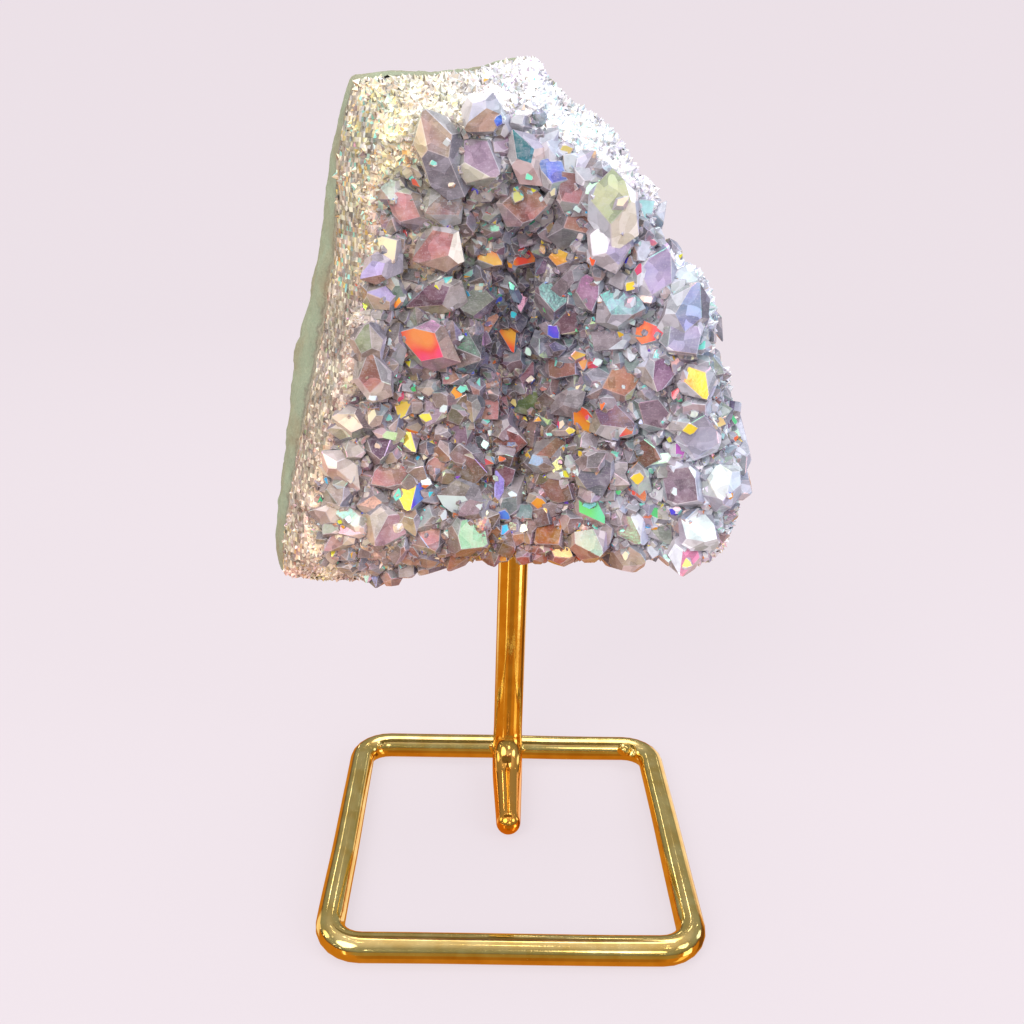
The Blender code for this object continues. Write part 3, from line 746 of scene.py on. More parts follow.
# %% Quartz point
FACE_ANGLE = math.radians(51.8)
FRONT_TURN = math.radians(30)
FRONT_FACE = Vector((math.cos(FRONT_TURN) * math.sin(FACE_ANGLE), math.sin(FRONT_TURN) * math.sin(FACE_ANGLE),
                     math.cos(FACE_ANGLE)))
FACETS = 16
TAPER = 1.32  # how much wider a point is at its root


def cut_away(bm, place, normal):
    """Takes off what lies beyond a plane and closes the cut. Returns the new face."""
    whole = bm.verts[:] + bm.edges[:] + bm.faces[:]
    cut = bmesh.ops.bisect_plane(bm, geom=whole, plane_co=place, plane_no=normal, clear_outer=True)
    edges = [e for e in cut["geom_cut"] if isinstance(e, bmesh.types.BMEdge)]
    return bmesh.ops.holes_fill(bm, edges=edges, sides=0)["faces"] if edges else []


def quartz_point(radius, length, rng):
    """A closed point along +Z with its tip near the origin. Face numbers: 0 to 5 at the tip, 6 to 11 down the sides."""
    bm = bmesh.new()
    bmesh.ops.create_cone(bm, cap_ends=True, segments=6, radius1=radius * TAPER, radius2=radius * 0.9,
                          depth=length + radius)
    bmesh.ops.translate(bm, vec=(0, 0, (radius - length) / 2), verts=bm.verts)
    facet = bm.faces.layers.int.new("facet")
    for face in bm.faces:
        turn = math.degrees(math.atan2(face.normal.y, face.normal.x)) % 360
        face[facet] = 12 if abs(face.normal.z) > 0.9 else 6 + int(turn // 60)
    small = rng.choice((0.02, 0.10, 0.22, 0.40))
    for k in range(6):
        turn = FRONT_TURN + math.radians(60 * k)
        normal = Vector((math.cos(turn) * math.sin(FACE_ANGLE), math.sin(turn) * math.sin(FACE_ANGLE),
                         math.cos(FACE_ANGLE)))
        back = rng.uniform(0.0, 0.25) if k % 2 == 0 else small + rng.uniform(0.0, 0.2)
        for face in cut_away(bm, (0, 0, radius * (0.0 if k == 0 else back)), normal):
            face[facet] = k
    return bm


def chamfered(bm, width):
    """Narrow faces along the edges, marked so that a painted highlight can make them paler."""
    edge_layer = bm.faces.layers.float.new("edge")
    sharp = [e for e in bm.edges if len(e.link_faces) == 2 and e.calc_face_angle() > 0.15]
    made = bmesh.ops.bevel(bm, geom=sharp, offset=width, offset_type="OFFSET", segments=1, affect="EDGES",
                           clamp_overlap=True)
    for face in made["faces"]:
        face[edge_layer] = 1.0


def frame_of(first, second):
    across = first.cross(second).normalized()
    return Matrix((first, across, first.cross(across))).transposed()


def tilted(direction, angle, rng):
    """The direction leaned by an angle to a random side."""
    side = direction.orthogonal().normalized()
    side.rotate(Matrix.Rotation(rng.uniform(0, math.tau), 3, direction))
    return (direction * math.cos(angle) + side * math.sin(angle)).normalized()


# %% [markdown]
# ## Large points
# The photograph shows about ninety large points. Each one is listed with its place on the face, its radius and the
# colour of the face that looks at the viewer, because no rule gives these. A ray from the camera through the place
# finds the bed, so a point lands where the picture has it. Its large face turns roughly to the front, its tip leans to
# one side, and its root is cut off inside the bed.

# %% Places of the large points
FACE_PLANE = -6.7 * MM
LARGE_POINTS = (
    (-2.6, 22.4, 3.6, "grey_mauve"), (-8.0, 17.2, 3.0, "rosewood"), (-9.6, 11.8, 3.9, "rosewood"),
    (-9.0, 26.0, 2.6, "sand"), (-3.6, 26.8, 2.2, "sand"), (-12.8, 17.2, 2.1, "rose"), (-14.6, 12.0, 1.9, "cream!"),
    (-16.4, 9.4, 1.7, "lilac"), (-15.2, 6.6, 2.0, "lilac"), (-9.6, 6.2, 2.7, "plum"), (-4.4, 6.6, 3.0, "grey_green"),
    (-10.6, 0.6, 3.5, "coral!"), (-4.8, 0.6, 2.8, "plum"), (-17.4, 1.2, 2.0, "sage"), (-16.8, -3.0, 2.4, "rosewood"),
    (-6.2, -3.4, 2.2, "rosewood"), (-17.6, -9.8, 2.0, "cream!"), (-12.8, -7.8, 1.9, "yellow!"),
    (-12.0, -12.6, 2.0, "yellow!"), (-15.8, -13.0, 2.3, "plum"), (-14.6, -17.2, 3.0, "clay"),
    (-8.4, -16.4, 2.0, "rose"), (-4.4, -16.6, 2.7, "russet"), (-12.2, -20.4, 2.4, "yellow!"),
    (-6.2, -21.0, 2.3, "ice!"), (-14.6, -25.4, 3.7, "dusk_pink"), (-9.0, -25.6, 2.8, "clay"),
    (-3.4, -25.6, 3.1, "dusk_pink"), (-19.8, -24.4, 2.2, "sand"), (-21.4, -20.0, 2.0, "sand"),
    (-5.6, -11.6, 2.4, "mauve"), (-2.0, -7.6, 2.4, "clay"), (-8.8, -8.6, 2.2, "mauve"), (2.6, 17.8, 2.9, "rosewood"),
    (1.4, 24.8, 1.9, "teal"), (5.2, 22.0, 1.9, "steel_blue"), (8.0, 20.0, 2.3, "rose"), (9.2, 16.2, 1.9, "clay"),
    (12.6, 19.4, 2.9, "pale_green"), (13.8, 14.0, 3.5, "lavender"), (19.0, 10.6, 2.8, "lavender"),
    (23.6, 6.8, 3.1, "pale_blue"), (-1.8, 11.4, 2.0, "orange!"), (2.4, 11.4, 2.0, "orange!"), (7.2, 11.6, 2.0, "gold!"),
    (6.6, 7.4, 2.7, "slate"), (2.2, 6.6, 2.0, "dark_plum"), (10.6, 7.2, 2.2, "mauve"), (15.2, 6.2, 2.7, "lavender"),
    (7.8, 3.2, 2.3, "mauve"), (12.8, 2.4, 2.9, "grey_mauve"), (19.0, 2.4, 2.3, "coral!"), (23.0, 1.8, 2.4, "lavender"),
    (0.8, 1.6, 2.1, "orange!"), (7.6, -1.8, 2.5, "russet"), (0.2, -3.0, 2.0, "olive"), (10.8, -4.6, 2.1, "pale_green"),
    (15.6, -3.6, 2.5, "rosewood"), (20.6, -2.8, 2.5, "mauve"), (25.4, -4.2, 2.3, "gold!"), (15.2, -8.8, 3.4, "russet"),
    (20.4, -8.4, 2.5, "grey_mauve"), (10.6, -8.8, 2.1, "orange!"), (3.6, -7.2, 2.4, "olive"),
    (26.0, -10.8, 3.4, "pale_lilac"), (6.8, -13.4, 2.5, "russet"), (19.0, -13.8, 2.3, "russet"),
    (1.4, -12.6, 2.2, "dark_red"), (12.8, -16.8, 3.1, "violet_grey"), (7.6, -18.6, 2.8, "russet"),
    (0.0, -17.4, 2.6, "plum"), (18.4, -18.4, 2.4, "coral"), (12.6, -21.6, 2.3, "green!"), (24.2, -18.0, 3.3, "mauve"),
    (29.4, -17.6, 2.6, "ice"), (6.8, -24.8, 2.4, "amber"), (12.6, -26.2, 2.9, "clay"), (17.8, -24.6, 2.4, "rose"),
    (1.6, -24.0, 2.1, "grey_mauve"), (22.2, -24.2, 2.7, "stone"), (27.4, -24.0, 2.6, "ice"), (26.0, -28.6, 2.2, "pink"),
    (-22.0, -27.0, 2.0, "rose"), (18.6, -28.4, 2.0, "sand"),
)
# Small crystals that flash: their bright tints are partly the film's colour and partly a painted reflection
SPARKS = (
    (-7.0, 8.6, 0.9, "aqua!"), (-4.4, 9.2, 1.0, "aqua!"), (-9.9, 9.3, 0.6, "cream!"), (-13.4, 5.4, 0.9, "orange!"),
    (-8.9, 22.3, 0.7, "aqua!"), (-11.6, 20.6, 0.6, "aqua!"), (-6.8, 19.9, 0.6, "cream!"), (1.3, 18.6, 1.0, "straw!"),
    (2.6, 21.0, 0.7, "aqua!"), (5.6, 19.4, 0.7, "cream!"), (-13.7, 24.4, 0.8, "yellow!"), (-7.4, 24.6, 0.6, "ice!"),
    (-1.2, 27.4, 0.9, "blue"), (7.0, 24.2, 1.0, "straw!"), (0.8, 8.0, 0.7, "aqua!"), (-0.6, 6.2, 0.9, "blue!"),
    (-17.3, 5.0, 0.9, "yellow!"), (4.6, 12.4, 0.8, "gold!"), (5.4, 15.2, 0.9, "clay"), (-17.0, 15.6, 0.7, "aqua!"),
    (-11.0, -5.6, 0.8, "green!"), (-14.6, -9.4, 0.9, "aqua!"), (-9.9, -9.2, 1.1, "yellow!"), (-3.0, -4.4, 0.9, "aqua!"),
    (-5.0, -5.4, 0.8, "aqua!"), (-7.4, -8.0, 0.9, "ice!"), (-2.0, -12.8, 0.8, "ice!"), (-1.6, -15.2, 1.1, "red!"),
    (-9.8, -14.6, 0.7, "cream!"), (0.2, -14.6, 0.8, "red!"), (-16.6, -6.8, 0.7, "ice!"), (-13.4, -20.0, 1.0, "aqua!"),
    (-9.6, -18.0, 1.1, "ice!"), (-22.2, -28.4, 1.1, "yellow!"), (-18.6, -20.4, 0.7, "ice!"), (-20.0, -23.6, 0.7, "ice!"),
    (-7.2, -22.6, 0.9, "ice!"), (-2.6, -21.4, 0.8, "ice!"), (0.9, -22.6, 1.1, "blue!"), (0.8, -24.8, 1.0, "cyan!"),
    (3.4, -24.4, 1.0, "cream!"), (-5.4, 1.2, 0.7, "ice!"), (1.2, 4.4, 0.7, "cyan!"), (6.4, 2.2, 1.2, "blue!"),
    (9.8, -0.6, 1.2, "gold!"), (16.2, 3.8, 0.7, "ice!"), (19.6, -0.2, 1.0, "aqua!"), (12.2, -4.4, 0.7, "ice!"),
    (3.6, -3.8, 0.9, "cream!"), (1.6, -7.0, 0.8, "straw!"), (13.0, -7.2, 0.8, "orange!"), (16.4, -10.6, 1.3, "coral!"),
    (17.6, -10.0, 0.9, "straw!"), (7.8, -10.0, 0.8, "cream!"), (9.2, -10.6, 0.8, "yellow!"), (4.8, -9.2, 1.0, "orange!"),
    (8.8, -16.8, 1.0, "ice!"), (10.2, -16.4, 0.8, "ice!"), (10.6, -13.8, 0.9, "yellow!"), (18.2, -17.0, 1.2, "yellow!"),
    (23.4, -12.8, 1.3, "magenta!"), (24.8, -10.0, 1.2, "gold!"), (22.4, -5.4, 1.0, "coral!"), (12.2, -1.4, 0.8, "ice!"),
    (5.4, -20.8, 1.2, "orange!"), (12.2, -20.8, 1.2, "cyan!"), (2.0, -19.6, 0.8, "ice!"), (23.4, -18.8, 0.8, "ice!"),
    (15.6, 8.2, 0.9, "gold!"), (16.6, 10.6, 0.9, "coral!"), (21.4, 12.0, 0.9, "yellow!"), (18.0, 13.6, 0.9, "pink!"),
    (14.2, 18.6, 1.0, "cream!"), (8.6, 17.4, 0.7, "ice!"), (10.8, 11.2, 0.8, "orange!"), (11.6, 8.8, 0.6, "ice!"),
    (25.0, 1.0, 1.0, "aqua!"), (27.6, 4.0, 0.9, "straw!"), (28.6, -9.0, 1.0, "straw!"), (25.8, -29.0, 1.1, "gold!"),
    (2.2, 30.4, 0.9, "blue"), (4.2, 28.6, 0.8, "aqua"), (0.6, -28.6, 1.2, "orange!"), (17.4, -28.2, 0.8, "cream!"),
)


def seen_through(x, z, tree):
    """Where the camera's ray through a place on the face meets a surface: the point, its normal and the way back."""
    spot = Vector((x * MM + STONE_CENTRE.x, FACE_PLANE, z * MM + STONE_CENTRE.z))
    ray = (spot - CAMERA_PLACE).normalized()
    hit, normal, _, _ = tree.ray_cast(CAMERA_PLACE, ray)
    return hit, normal, -ray


print("placed by hand:", len(LARGE_POINTS), "large points,", len(SPARKS), "sparks")

# %% Growing points on the bed
CHAMFER = 0.07 * MM
ROOT = 1.3 * MM

points_mesh = bpy.data.meshes.new("points")
grown = bmesh.new()
given_colours = {}


def grow_point(x, z, radius, stand_out, lean, tree, rng, colour=None):
    """Adds a point whose front face lies a little before the surface at this place, and roots it in that surface."""
    hit, ground_normal, back = seen_through(x, z, tree)
    if hit is None:
        return False
    if ground_normal.dot(back) < 0:
        ground_normal = -ground_normal
    radius *= MM
    outward = Vector((hit.x - STONE_CENTRE.x, 0, hit.z - STONE_CENTRE.z)) / (30 * MM)
    wanted = (ground_normal + back * 0.6 + outward * 0.5).normalized()
    face_way = tilted(back, rng.uniform(*lean), rng)
    axes = [tilted(face_way, FACE_ANGLE, rng) for _ in range(7)]
    axis = max(axes, key=wanted.dot)
    bm = quartz_point(radius, radius * 2.2 + 3.5 * MM, rng)
    squeeze = Matrix.Diagonal((rng.uniform(0.85, 1.1), rng.uniform(0.85, 1.0), 1.0))
    turn = frame_of(face_way, axis) @ frame_of(FRONT_FACE, Vector((0, 0, 1))).transposed()
    bmesh.ops.transform(bm, matrix=(turn @ squeeze).to_4x4(), verts=bm.verts)
    facet = bm.faces.layers.int["facet"]
    front = [face for face in bm.faces if face[facet] == 0]
    if not front:
        bm.free()
        return False
    middle = front[0].calc_center_median()
    bmesh.ops.translate(bm, vec=hit + back * stand_out * radius - middle, verts=bm.verts)
    for face in cut_away(bm, hit - ground_normal * ROOT, -ground_normal):
        face[facet] = 13
    chamfered(bm, min(CHAMFER, radius * 0.06))
    number = len(given_colours)
    given_colours[number] = colour
    for face in bm.faces:
        face[facet] += number * FACETS
    single = bpy.data.meshes.new("single")
    bm.to_mesh(single)
    bm.free()
    grown.from_mesh(single)
    bpy.data.meshes.remove(single)
    return True


rng = random.Random(21)
taken = []
for x, z, radius, colour in LARGE_POINTS:
    grow_point(x, z, min(radius * 1.2, 3.3), rng.uniform(0.22, 0.50), (0.08, 0.55), bed_tree, rng, colour)
    taken.append((x, z, radius))
print("large points:", len(given_colours))

# %% [markdown]
# ## Points between the large ones
# Between the large points stand smaller ones, so no bed is left to see. Their places are tried at random and kept where
# the neighbours leave room, which is how crystals share a surface: each one grows until it meets the next.

# %% Medium points
MEDIUM_POINTS = 520
tries = 0
while len(taken) < len(LARGE_POINTS) + MEDIUM_POINTS and tries < 14000:
    tries += 1
    x, z, radius = rng.uniform(-33, 35), rng.uniform(-36, 36), rng.uniform(0.8, 1.7)
    spot = [(x * MM + STONE_CENTRE.x, 0.0, z * MM + STONE_CENTRE.z)]
    if field_share(spot)[0] < 0.5:
        continue
    if all(math.hypot(x - a, z - b) > 0.56 * (radius + r) for a, b, r in taken):
        if grow_point(x, z, radius * 1.3, rng.uniform(0.15, 0.75), (0.15, 0.8), bed_tree, rng):
            taken.append((x, z, radius))
print("medium points:", len(taken) - len(LARGE_POINTS))

# %% Sparks
crowd = BVHTree.FromBMesh(grown)
for x, z, radius, colour in SPARKS:
    if seen_through(x, z, crowd)[0] is not None:
        grow_point(x, z, radius * 1.0, 0.30, (0.10, 0.45), crowd, rng, colour)
print("points in all:", len(given_colours))

# %% [markdown]
# ## Small points in the gaps
# The deep places between the points are filled with small crystals, some seven hundred. They are copies of ten forms,
# so Geometry Nodes place them: a mesh of loose vertices carries each crystal's axis, turn, size and form, and the tree
# puts one form on each vertex. The vertices come from rays through the camera's eye: a ray that goes deeper than the
# rays around it has found a gap.

# %% Tree that plants crystals on vertices
def planting_tree():
    """Plants the forms of a collection on vertices that carry aim, roll, size and form."""
    tree, sockets, given, result = group_with(
        "planted_crystals", ("Forms", "NodeSocketCollection"), ("Size", "NodeSocketFloat"),
        ("Finish", "NodeSocketMaterial"))

    def stored(name, kind):
        return add_node(tree, "GeometryNodeInputNamedAttribute", {"Name": name}, data_type=kind).outputs["Attribute"]

    points = add_node(tree, "GeometryNodeMeshToPoints", {"Mesh": given.outputs["Geometry"]})
    forms = add_node(tree, "GeometryNodeCollectionInfo", {"Collection": given.outputs["Forms"],
                                                          "Separate Children": True, "Reset Children": True})
    aimed = add_node(tree, "FunctionNodeAlignRotationToVector", {"Vector": stored("aim", "FLOAT_VECTOR")}, axis="Z")
    around_axis = add_node(tree, "FunctionNodeAxisAngleToRotation", {"Axis": (0, 0, 1),
                                                                     "Angle": stored("roll", "FLOAT")})
    rolled = add_node(tree, "FunctionNodeRotateRotation", {"Rotation": aimed.outputs["Rotation"],
                                                           "Rotate By": around_axis.outputs["Rotation"]},
                      rotation_space="LOCAL")
    size = add_node(tree, "ShaderNodeMath", {0: stored("size", "FLOAT"), 1: given.outputs["Size"]},
                    operation="MULTIPLY")
    planted = add_node(tree, "GeometryNodeInstanceOnPoints", {
        "Points": points.outputs[0], "Instance": forms.outputs[0], "Pick Instance": True,
        "Instance Index": stored("form", "INT"), "Rotation": rolled.outputs["Rotation"], "Scale": size.outputs[0]})
    realized = add_node(tree, "GeometryNodeRealizeInstances", {"Geometry": planted.outputs[0]})
    finished = add_node(tree, "GeometryNodeSetMaterial", {"Geometry": realized.outputs[0],
                                                          "Material": given.outputs["Finish"]})
    tree.links.new(finished.outputs[0], result.inputs[0])
    return tree, sockets


def planted_mesh(name, crystals, forms, finish):
    """A mesh of all planted crystals. Each one is (place, axis, turn, size in metres)."""
    host_mesh = bpy.data.meshes.new(name)
    host_mesh.from_pydata([c[0] for c in crystals], [], [])
    for label, kind, key, values in (
        ("aim", "FLOAT_VECTOR", "vector", [v for c in crystals for v in c[1]]),
        ("roll", "FLOAT", "value", [c[2] for c in crystals]),
        ("size", "FLOAT", "value", [c[3] / MM for c in crystals]),
        ("form", "INT", "value", [k % len(forms.objects) for k in range(len(crystals))]),
        ("crystal", "INT", "value", list(range(len(crystals)))),
    ):
        host_mesh.attributes.new(label, kind, "POINT").data.foreach_set(key, values)
    host = bpy.data.objects.new(name, host_mesh)
    bpy.context.scene.collection.objects.link(host)
    tree, sockets = planting_tree()
    modifier = host.modifiers.new("planted", "NODES")
    modifier.node_group = tree
    for label, value in (("Forms", forms), ("Size", 1.0), ("Finish", finish)):
        modifier[sockets[label]] = value
    return plain_mesh(host)


def forms_from(name, makers):
    """A collection of crystal forms one millimetre in radius, each from its own bmesh."""
    forms = bpy.data.collections.new(name)
    for k, bm in enumerate(makers):
        mesh = bpy.data.meshes.new(f"{name}_{k}")
        bm.to_mesh(mesh)
        bm.free()
        forms.objects.link(bpy.data.objects.new(f"{name}_{k}", mesh))
    return forms


# %% Small points
GAP_GRID = 0.85
GAP_DEPTH = 0.22 * MM
SMALL_FORMS = 10

form_rng = random.Random(3)
makers = []
for k in range(SMALL_FORMS):
    bm = quartz_point(1.0 * MM, 2.2 * MM, form_rng)
    chamfered(bm, 0.06 * MM)
    makers.append(bm)
small_forms = forms_from("small_form", makers)

crowd = BVHTree.FromBMesh(grown)
bed_and_crowd = (crowd, bed_tree)


def first_hit(x, z):
    """The nearest surface along the camera's ray, as depth, place, normal and way back."""
    best = None
    for tree in bed_and_crowd:
        hit, normal, back = seen_through(x, z, tree)
        if hit is not None:
            depth = (hit - CAMERA_PLACE).length
            if best is None or depth < best[0]:
                best = (depth, hit, normal if normal.dot(back) > 0 else -normal, back)
    return best


columns = range(int(-34 / GAP_GRID), int(36 / GAP_GRID))
rows = range(int(-37 / GAP_GRID), int(38 / GAP_GRID))
seen_at = {}
for i in columns:
    for j in rows:
        x, z = (i + rng.uniform(-0.3, 0.3)) * GAP_GRID, (j + rng.uniform(-0.3, 0.3)) * GAP_GRID
        found = first_hit(x, z)
        if found:
            seen_at[i, j] = found
small_points = []
for (i, j), (depth, hit, normal, back) in seen_at.items():
    near = [seen_at[i + a, j + b][0] for a in (-1, 0, 1) for b in (-1, 0, 1) if (i + a, j + b) in seen_at]
    if len(near) < 9 or field_share([hit])[0] < 0.3:
        continue
    gap = depth - sum(near) / len(near)
    if gap > GAP_DEPTH or rng.random() < 0.012:
        size = rng.uniform(0.4, 0.75) * MM if gap > GAP_DEPTH else rng.uniform(0.25, 0.45) * MM
        axis = (normal * 0.5 + back * 0.9 + Vector([rng.uniform(-0.8, 0.8) for _ in range(3)])).normalized()
        small_points.append((hit + back * size * rng.uniform(0.3, 0.9), axis, rng.uniform(0, math.tau), size))
print("small points:", len(small_points), "of", len(seen_at), "places looked at")

# %% [markdown]
# ## Druse on the rim
# Towards the rim the crystals grow smaller, down to a sugary skin on the left and along the top. This druse is an even
# scatter over a surface, so Geometry Nodes do it all: Distribute Points on Faces keeps the grains a set distance apart,
# a density painted on the bed keeps them off the middle, and each grain leans a little from the surface.

# %% Density and size of the druse, stored on the bed
GRAIN_RADIUS = {0: 0.62, 40: 0.60, 70: 0.42, 100: 0.40, 130: 0.42, 160: 0.30, 200: 0.28, 235: 0.34, 270: 0.40,
                315: 0.55}

bed_mesh.update()
bed_places = np.empty(len(bed_mesh.vertices) * 3)
bed_mesh.vertices.foreach_get("co", bed_places)
bed_places = bed_places.reshape(-1, 3)
bed_normals = np.empty(len(bed_mesh.vertices) * 3)
bed_mesh.vertex_normals.foreach_get("vector", bed_normals)
bed_normals = bed_normals.reshape(-1, 3)
facing = np.clip((0.75 - bed_normals[:, 1]) / 0.3, 0.0, 1.0)
density = (1.0 - field_share(bed_places)) * facing * (1.0 - seam_share(bed_places, bed_normals))
turns = np.degrees(np.arctan2(bed_places[:, 2] - STONE_CENTRE.z, bed_places[:, 0] - STONE_CENTRE.x))
grain_size = np.interp(turns, list(GRAIN_RADIUS), list(GRAIN_RADIUS.values()), period=360)
bed_mesh.attributes.new("druse", "FLOAT", "POINT").data.foreach_set("value", density.astype(np.float32))
bed_mesh.attributes.new("grain", "FLOAT", "POINT").data.foreach_set("value", grain_size.astype(np.float32))
print("druse on", round(float(density.mean()) * 100), "% of the bed")

# %% Druse
DRUSE_APART = 0.42 * MM
DRUSE_PER_AREA = 6.0e6

makers = []
for k in range(6):
    bm = bmesh.new()
    bmesh.ops.create_cone(bm, cap_ends=False, segments=6, radius1=1.0 * MM, radius2=0.0, depth=1.3 * MM)
    bmesh.ops.translate(bm, vec=(0, 0, 0.35 * MM), verts=bm.verts)
    tip = Vector((form_rng.uniform(-0.3, 0.3), form_rng.uniform(-0.3, 0.3), form_rng.uniform(-0.2, 0.2))) * MM
    for vertex in bm.verts:
        if vertex.co.z > 0.5 * MM:
            vertex.co += tip
    makers.append(bm)
druse_forms = forms_from("druse_form", makers)

tree, sockets, given, result = group_with(
    "druse_on_rim", ("Forms", "NodeSocketCollection"), ("Apart", "NodeSocketFloat"), ("Density", "NodeSocketFloat"),
    ("Seed", "NodeSocketInt"), ("Lean", "NodeSocketFloat"), ("Finish", "NodeSocketMaterial"))


def stored(name, kind="FLOAT"):
    return add_node(tree, "GeometryNodeInputNamedAttribute", {"Name": name}, data_type=kind).outputs["Attribute"]


scattered = add_node(tree, "GeometryNodeDistributePointsOnFaces", {
    "Mesh": given.outputs["Geometry"], "Distance Min": given.outputs["Apart"], "Density Max": given.outputs["Density"],
    "Density Factor": stored("druse"), "Seed": given.outputs["Seed"]}, distribute_method="POISSON")
forms = add_node(tree, "GeometryNodeCollectionInfo", {"Collection": given.outputs["Forms"],
                                                      "Separate Children": True, "Reset Children": True})
leaning = add_node(tree, "FunctionNodeRandomValue", {"Min": (-1, -1, -1), "Max": (1, 1, 1), "Seed": 1},
                   data_type="FLOAT_VECTOR")
lean = add_node(tree, "ShaderNodeVectorMath", {0: leaning.outputs["Value"], "Scale": given.outputs["Lean"]},
                operation="SCALE")
aim = add_node(tree, "ShaderNodeVectorMath", {0: scattered.outputs["Normal"], 1: lean.outputs["Vector"]},
               operation="ADD")
aimed = add_node(tree, "FunctionNodeAlignRotationToVector", {"Vector": aim.outputs["Vector"]}, axis="Z")
picked = add_node(tree, "FunctionNodeRandomValue", {"Min": 0, "Max": 5, "Seed": 2}, data_type="INT")
swell = add_node(tree, "FunctionNodeRandomValue", {"Min": 0.6, "Max": 1.5, "Seed": 3}, data_type="FLOAT")
size = add_node(tree, "ShaderNodeMath", {0: stored("grain"), 1: swell.outputs[1]}, operation="MULTIPLY")
planted = add_node(tree, "GeometryNodeInstanceOnPoints", {
    "Points": scattered.outputs["Points"], "Instance": forms.outputs[0], "Pick Instance": True,
    "Instance Index": picked.outputs[2], "Rotation": aimed.outputs["Rotation"], "Scale": size.outputs[0]})
realized = add_node(tree, "GeometryNodeRealizeInstances", {"Geometry": planted.outputs[0]})
finished = add_node(tree, "GeometryNodeSetMaterial", {"Geometry": realized.outputs[0],
                                                      "Material": given.outputs["Finish"]})
tree.links.new(finished.outputs[0], result.inputs[0])
druse_tree, druse_sockets = tree, sockets
print("druse tree:", len(druse_tree.nodes), "nodes")

# %% [markdown]
# ## Amethyst finish
# Each face takes its stored tint. Veils and growth lines inside the crystal lighten it in places, and a chamfer gets a
# painted highlight that makes it paler. The film is set by the shader's thin film: a layer with a higher refractive
# index than quartz, whose mirror colour changes with the angle, so the faces shift their colour as the stone is turned.

# %% Crystal material
QUARTZ_IOR = 1.544

CLEAR = 0.20
BODY_COLOUR = (0.78, 0.66, 0.90, 1.0)
BODY_DENSITY = 120.0


def crystal_finish(name, clearness):
    """The finish of crystal faces. A clear one lets some light through and absorbs a little of it."""
    finish, tree, shader, place = new_material(name)
    tint = add_node(tree, "ShaderNodeAttribute", attribute_name="tint").outputs["Color"]
    flash = add_node(tree, "ShaderNodeAttribute", attribute_name="flash").outputs["Fac"]
    edge = add_node(tree, "ShaderNodeAttribute", attribute_name="edge").outputs["Fac"]
    veil = noise_at(tree, place, 0.7, 3.0, 0.6)
    stretched = add_node(tree, "ShaderNodeMapping",
                         {"Vector": place, "Rotation": (0.4, 0.3, 0.7), "Scale": (1, 1, 7)})
    lines = noise_at(tree, stretched.outputs["Vector"], 0.9, 1.0)
    specks = noise_at(tree, place, 5.0, 1.0, 0.6)
    bent = add_node(tree, "ShaderNodeTexNoise", {"Vector": place, "Scale": 0.5, "Detail": 0.0}).outputs["Color"]
    bent = add_node(tree, "ShaderNodeVectorMath", {0: place, 1: bent}, operation="ADD").outputs["Vector"]
    inner = add_node(tree, "ShaderNodeTexVoronoi", {"Vector": bent, "Scale": 0.55}).outputs["Color"]
    inner = add_node(tree, "ShaderNodeSeparateColor", {"Color": inner})
    hue = add_node(tree, "ShaderNodeMath", {0: flash, 1: 0.01, 2: 0.025}, operation="MULTIPLY_ADD").outputs[0]
    swing = spread(tree, noise_at(tree, place, 0.35, 0.0), 0.3, 0.7, -1.0, 1.0)
    hue = add_node(tree, "ShaderNodeMath", {0: swing, 1: hue, 2: 0.5}, operation="MULTIPLY_ADD").outputs[0]
    turned = add_node(tree, "ShaderNodeHueSaturation", {"Color": tint, "Hue": hue}).outputs["Color"]
    gain = spread(tree, inner.outputs[0], 0.0, 1.0, 0.64, 1.30)
    facetted = add_node(tree, "ShaderNodeVectorMath", {0: turned, "Scale": gain}, operation="SCALE")
    facetted = facetted.outputs["Vector"]
    veiled = mixed(tree, spread(tree, veil, 0.50, 0.80, 0.0, 0.30), facetted, opaque(tone("d9d2e0")))
    deep = mixed(tree, spread(tree, veil, 0.5, 0.25, 0.0, 0.30), veiled, opaque(tone("554660")))
    lined = mixed(tree, spread(tree, lines, 0.54, 0.76, 0.0, 0.12), deep, opaque(tone("e8dde6")))
    fine = mixed(tree, spread(tree, specks, 0.57, 0.75, 0.0, 0.18), lined, opaque(tone("efe6ee")))
    kept = mixed(tree, spread(tree, flash, 0.0, 1.0, 0.0, 0.85), fine, turned)
    # painted highlight: chamfer faces are mixed towards a pale tint
    rim = add_node(tree, "ShaderNodeMath", {0: edge, 1: 0.24}, operation="MULTIPLY").outputs[0]
    tree.links.new(mixed(tree, rim, kept, opaque(tone("efe8f2"))), shader.inputs["Base Color"])
    tree.links.new(spread(tree, flash, 0.0, 1.0, 0.0, 0.15), shader.inputs["Metallic"])
    tree.links.new(spread(tree, specks, 0.3, 0.8, 0.04, 0.20), shader.inputs["Roughness"])
    shader.inputs["Transmission Weight"].default_value = clearness
    shader.inputs["IOR"].default_value = QUARTZ_IOR
    tree.links.new(add_node(tree, "ShaderNodeAttribute", attribute_name="film").outputs["Fac"],
                   shader.inputs["Thin Film Thickness"])
    shader.inputs["Thin Film IOR"].default_value = 2.0
    bumped(tree, shader, noise_at(tree, place, 2.2, 1.0), 0.12, 0.0001)
    if clearness:
        inside = add_node(tree, "ShaderNodeVolumeAbsorption")
        inside.inputs["Color"].default_value = BODY_COLOUR
        inside.inputs["Density"].default_value = BODY_DENSITY
        output = next(node for node in tree.nodes if node.bl_idname == "ShaderNodeOutputMaterial")
        tree.links.new(inside.outputs["Volume"], output.inputs["Volume"])
    return finish


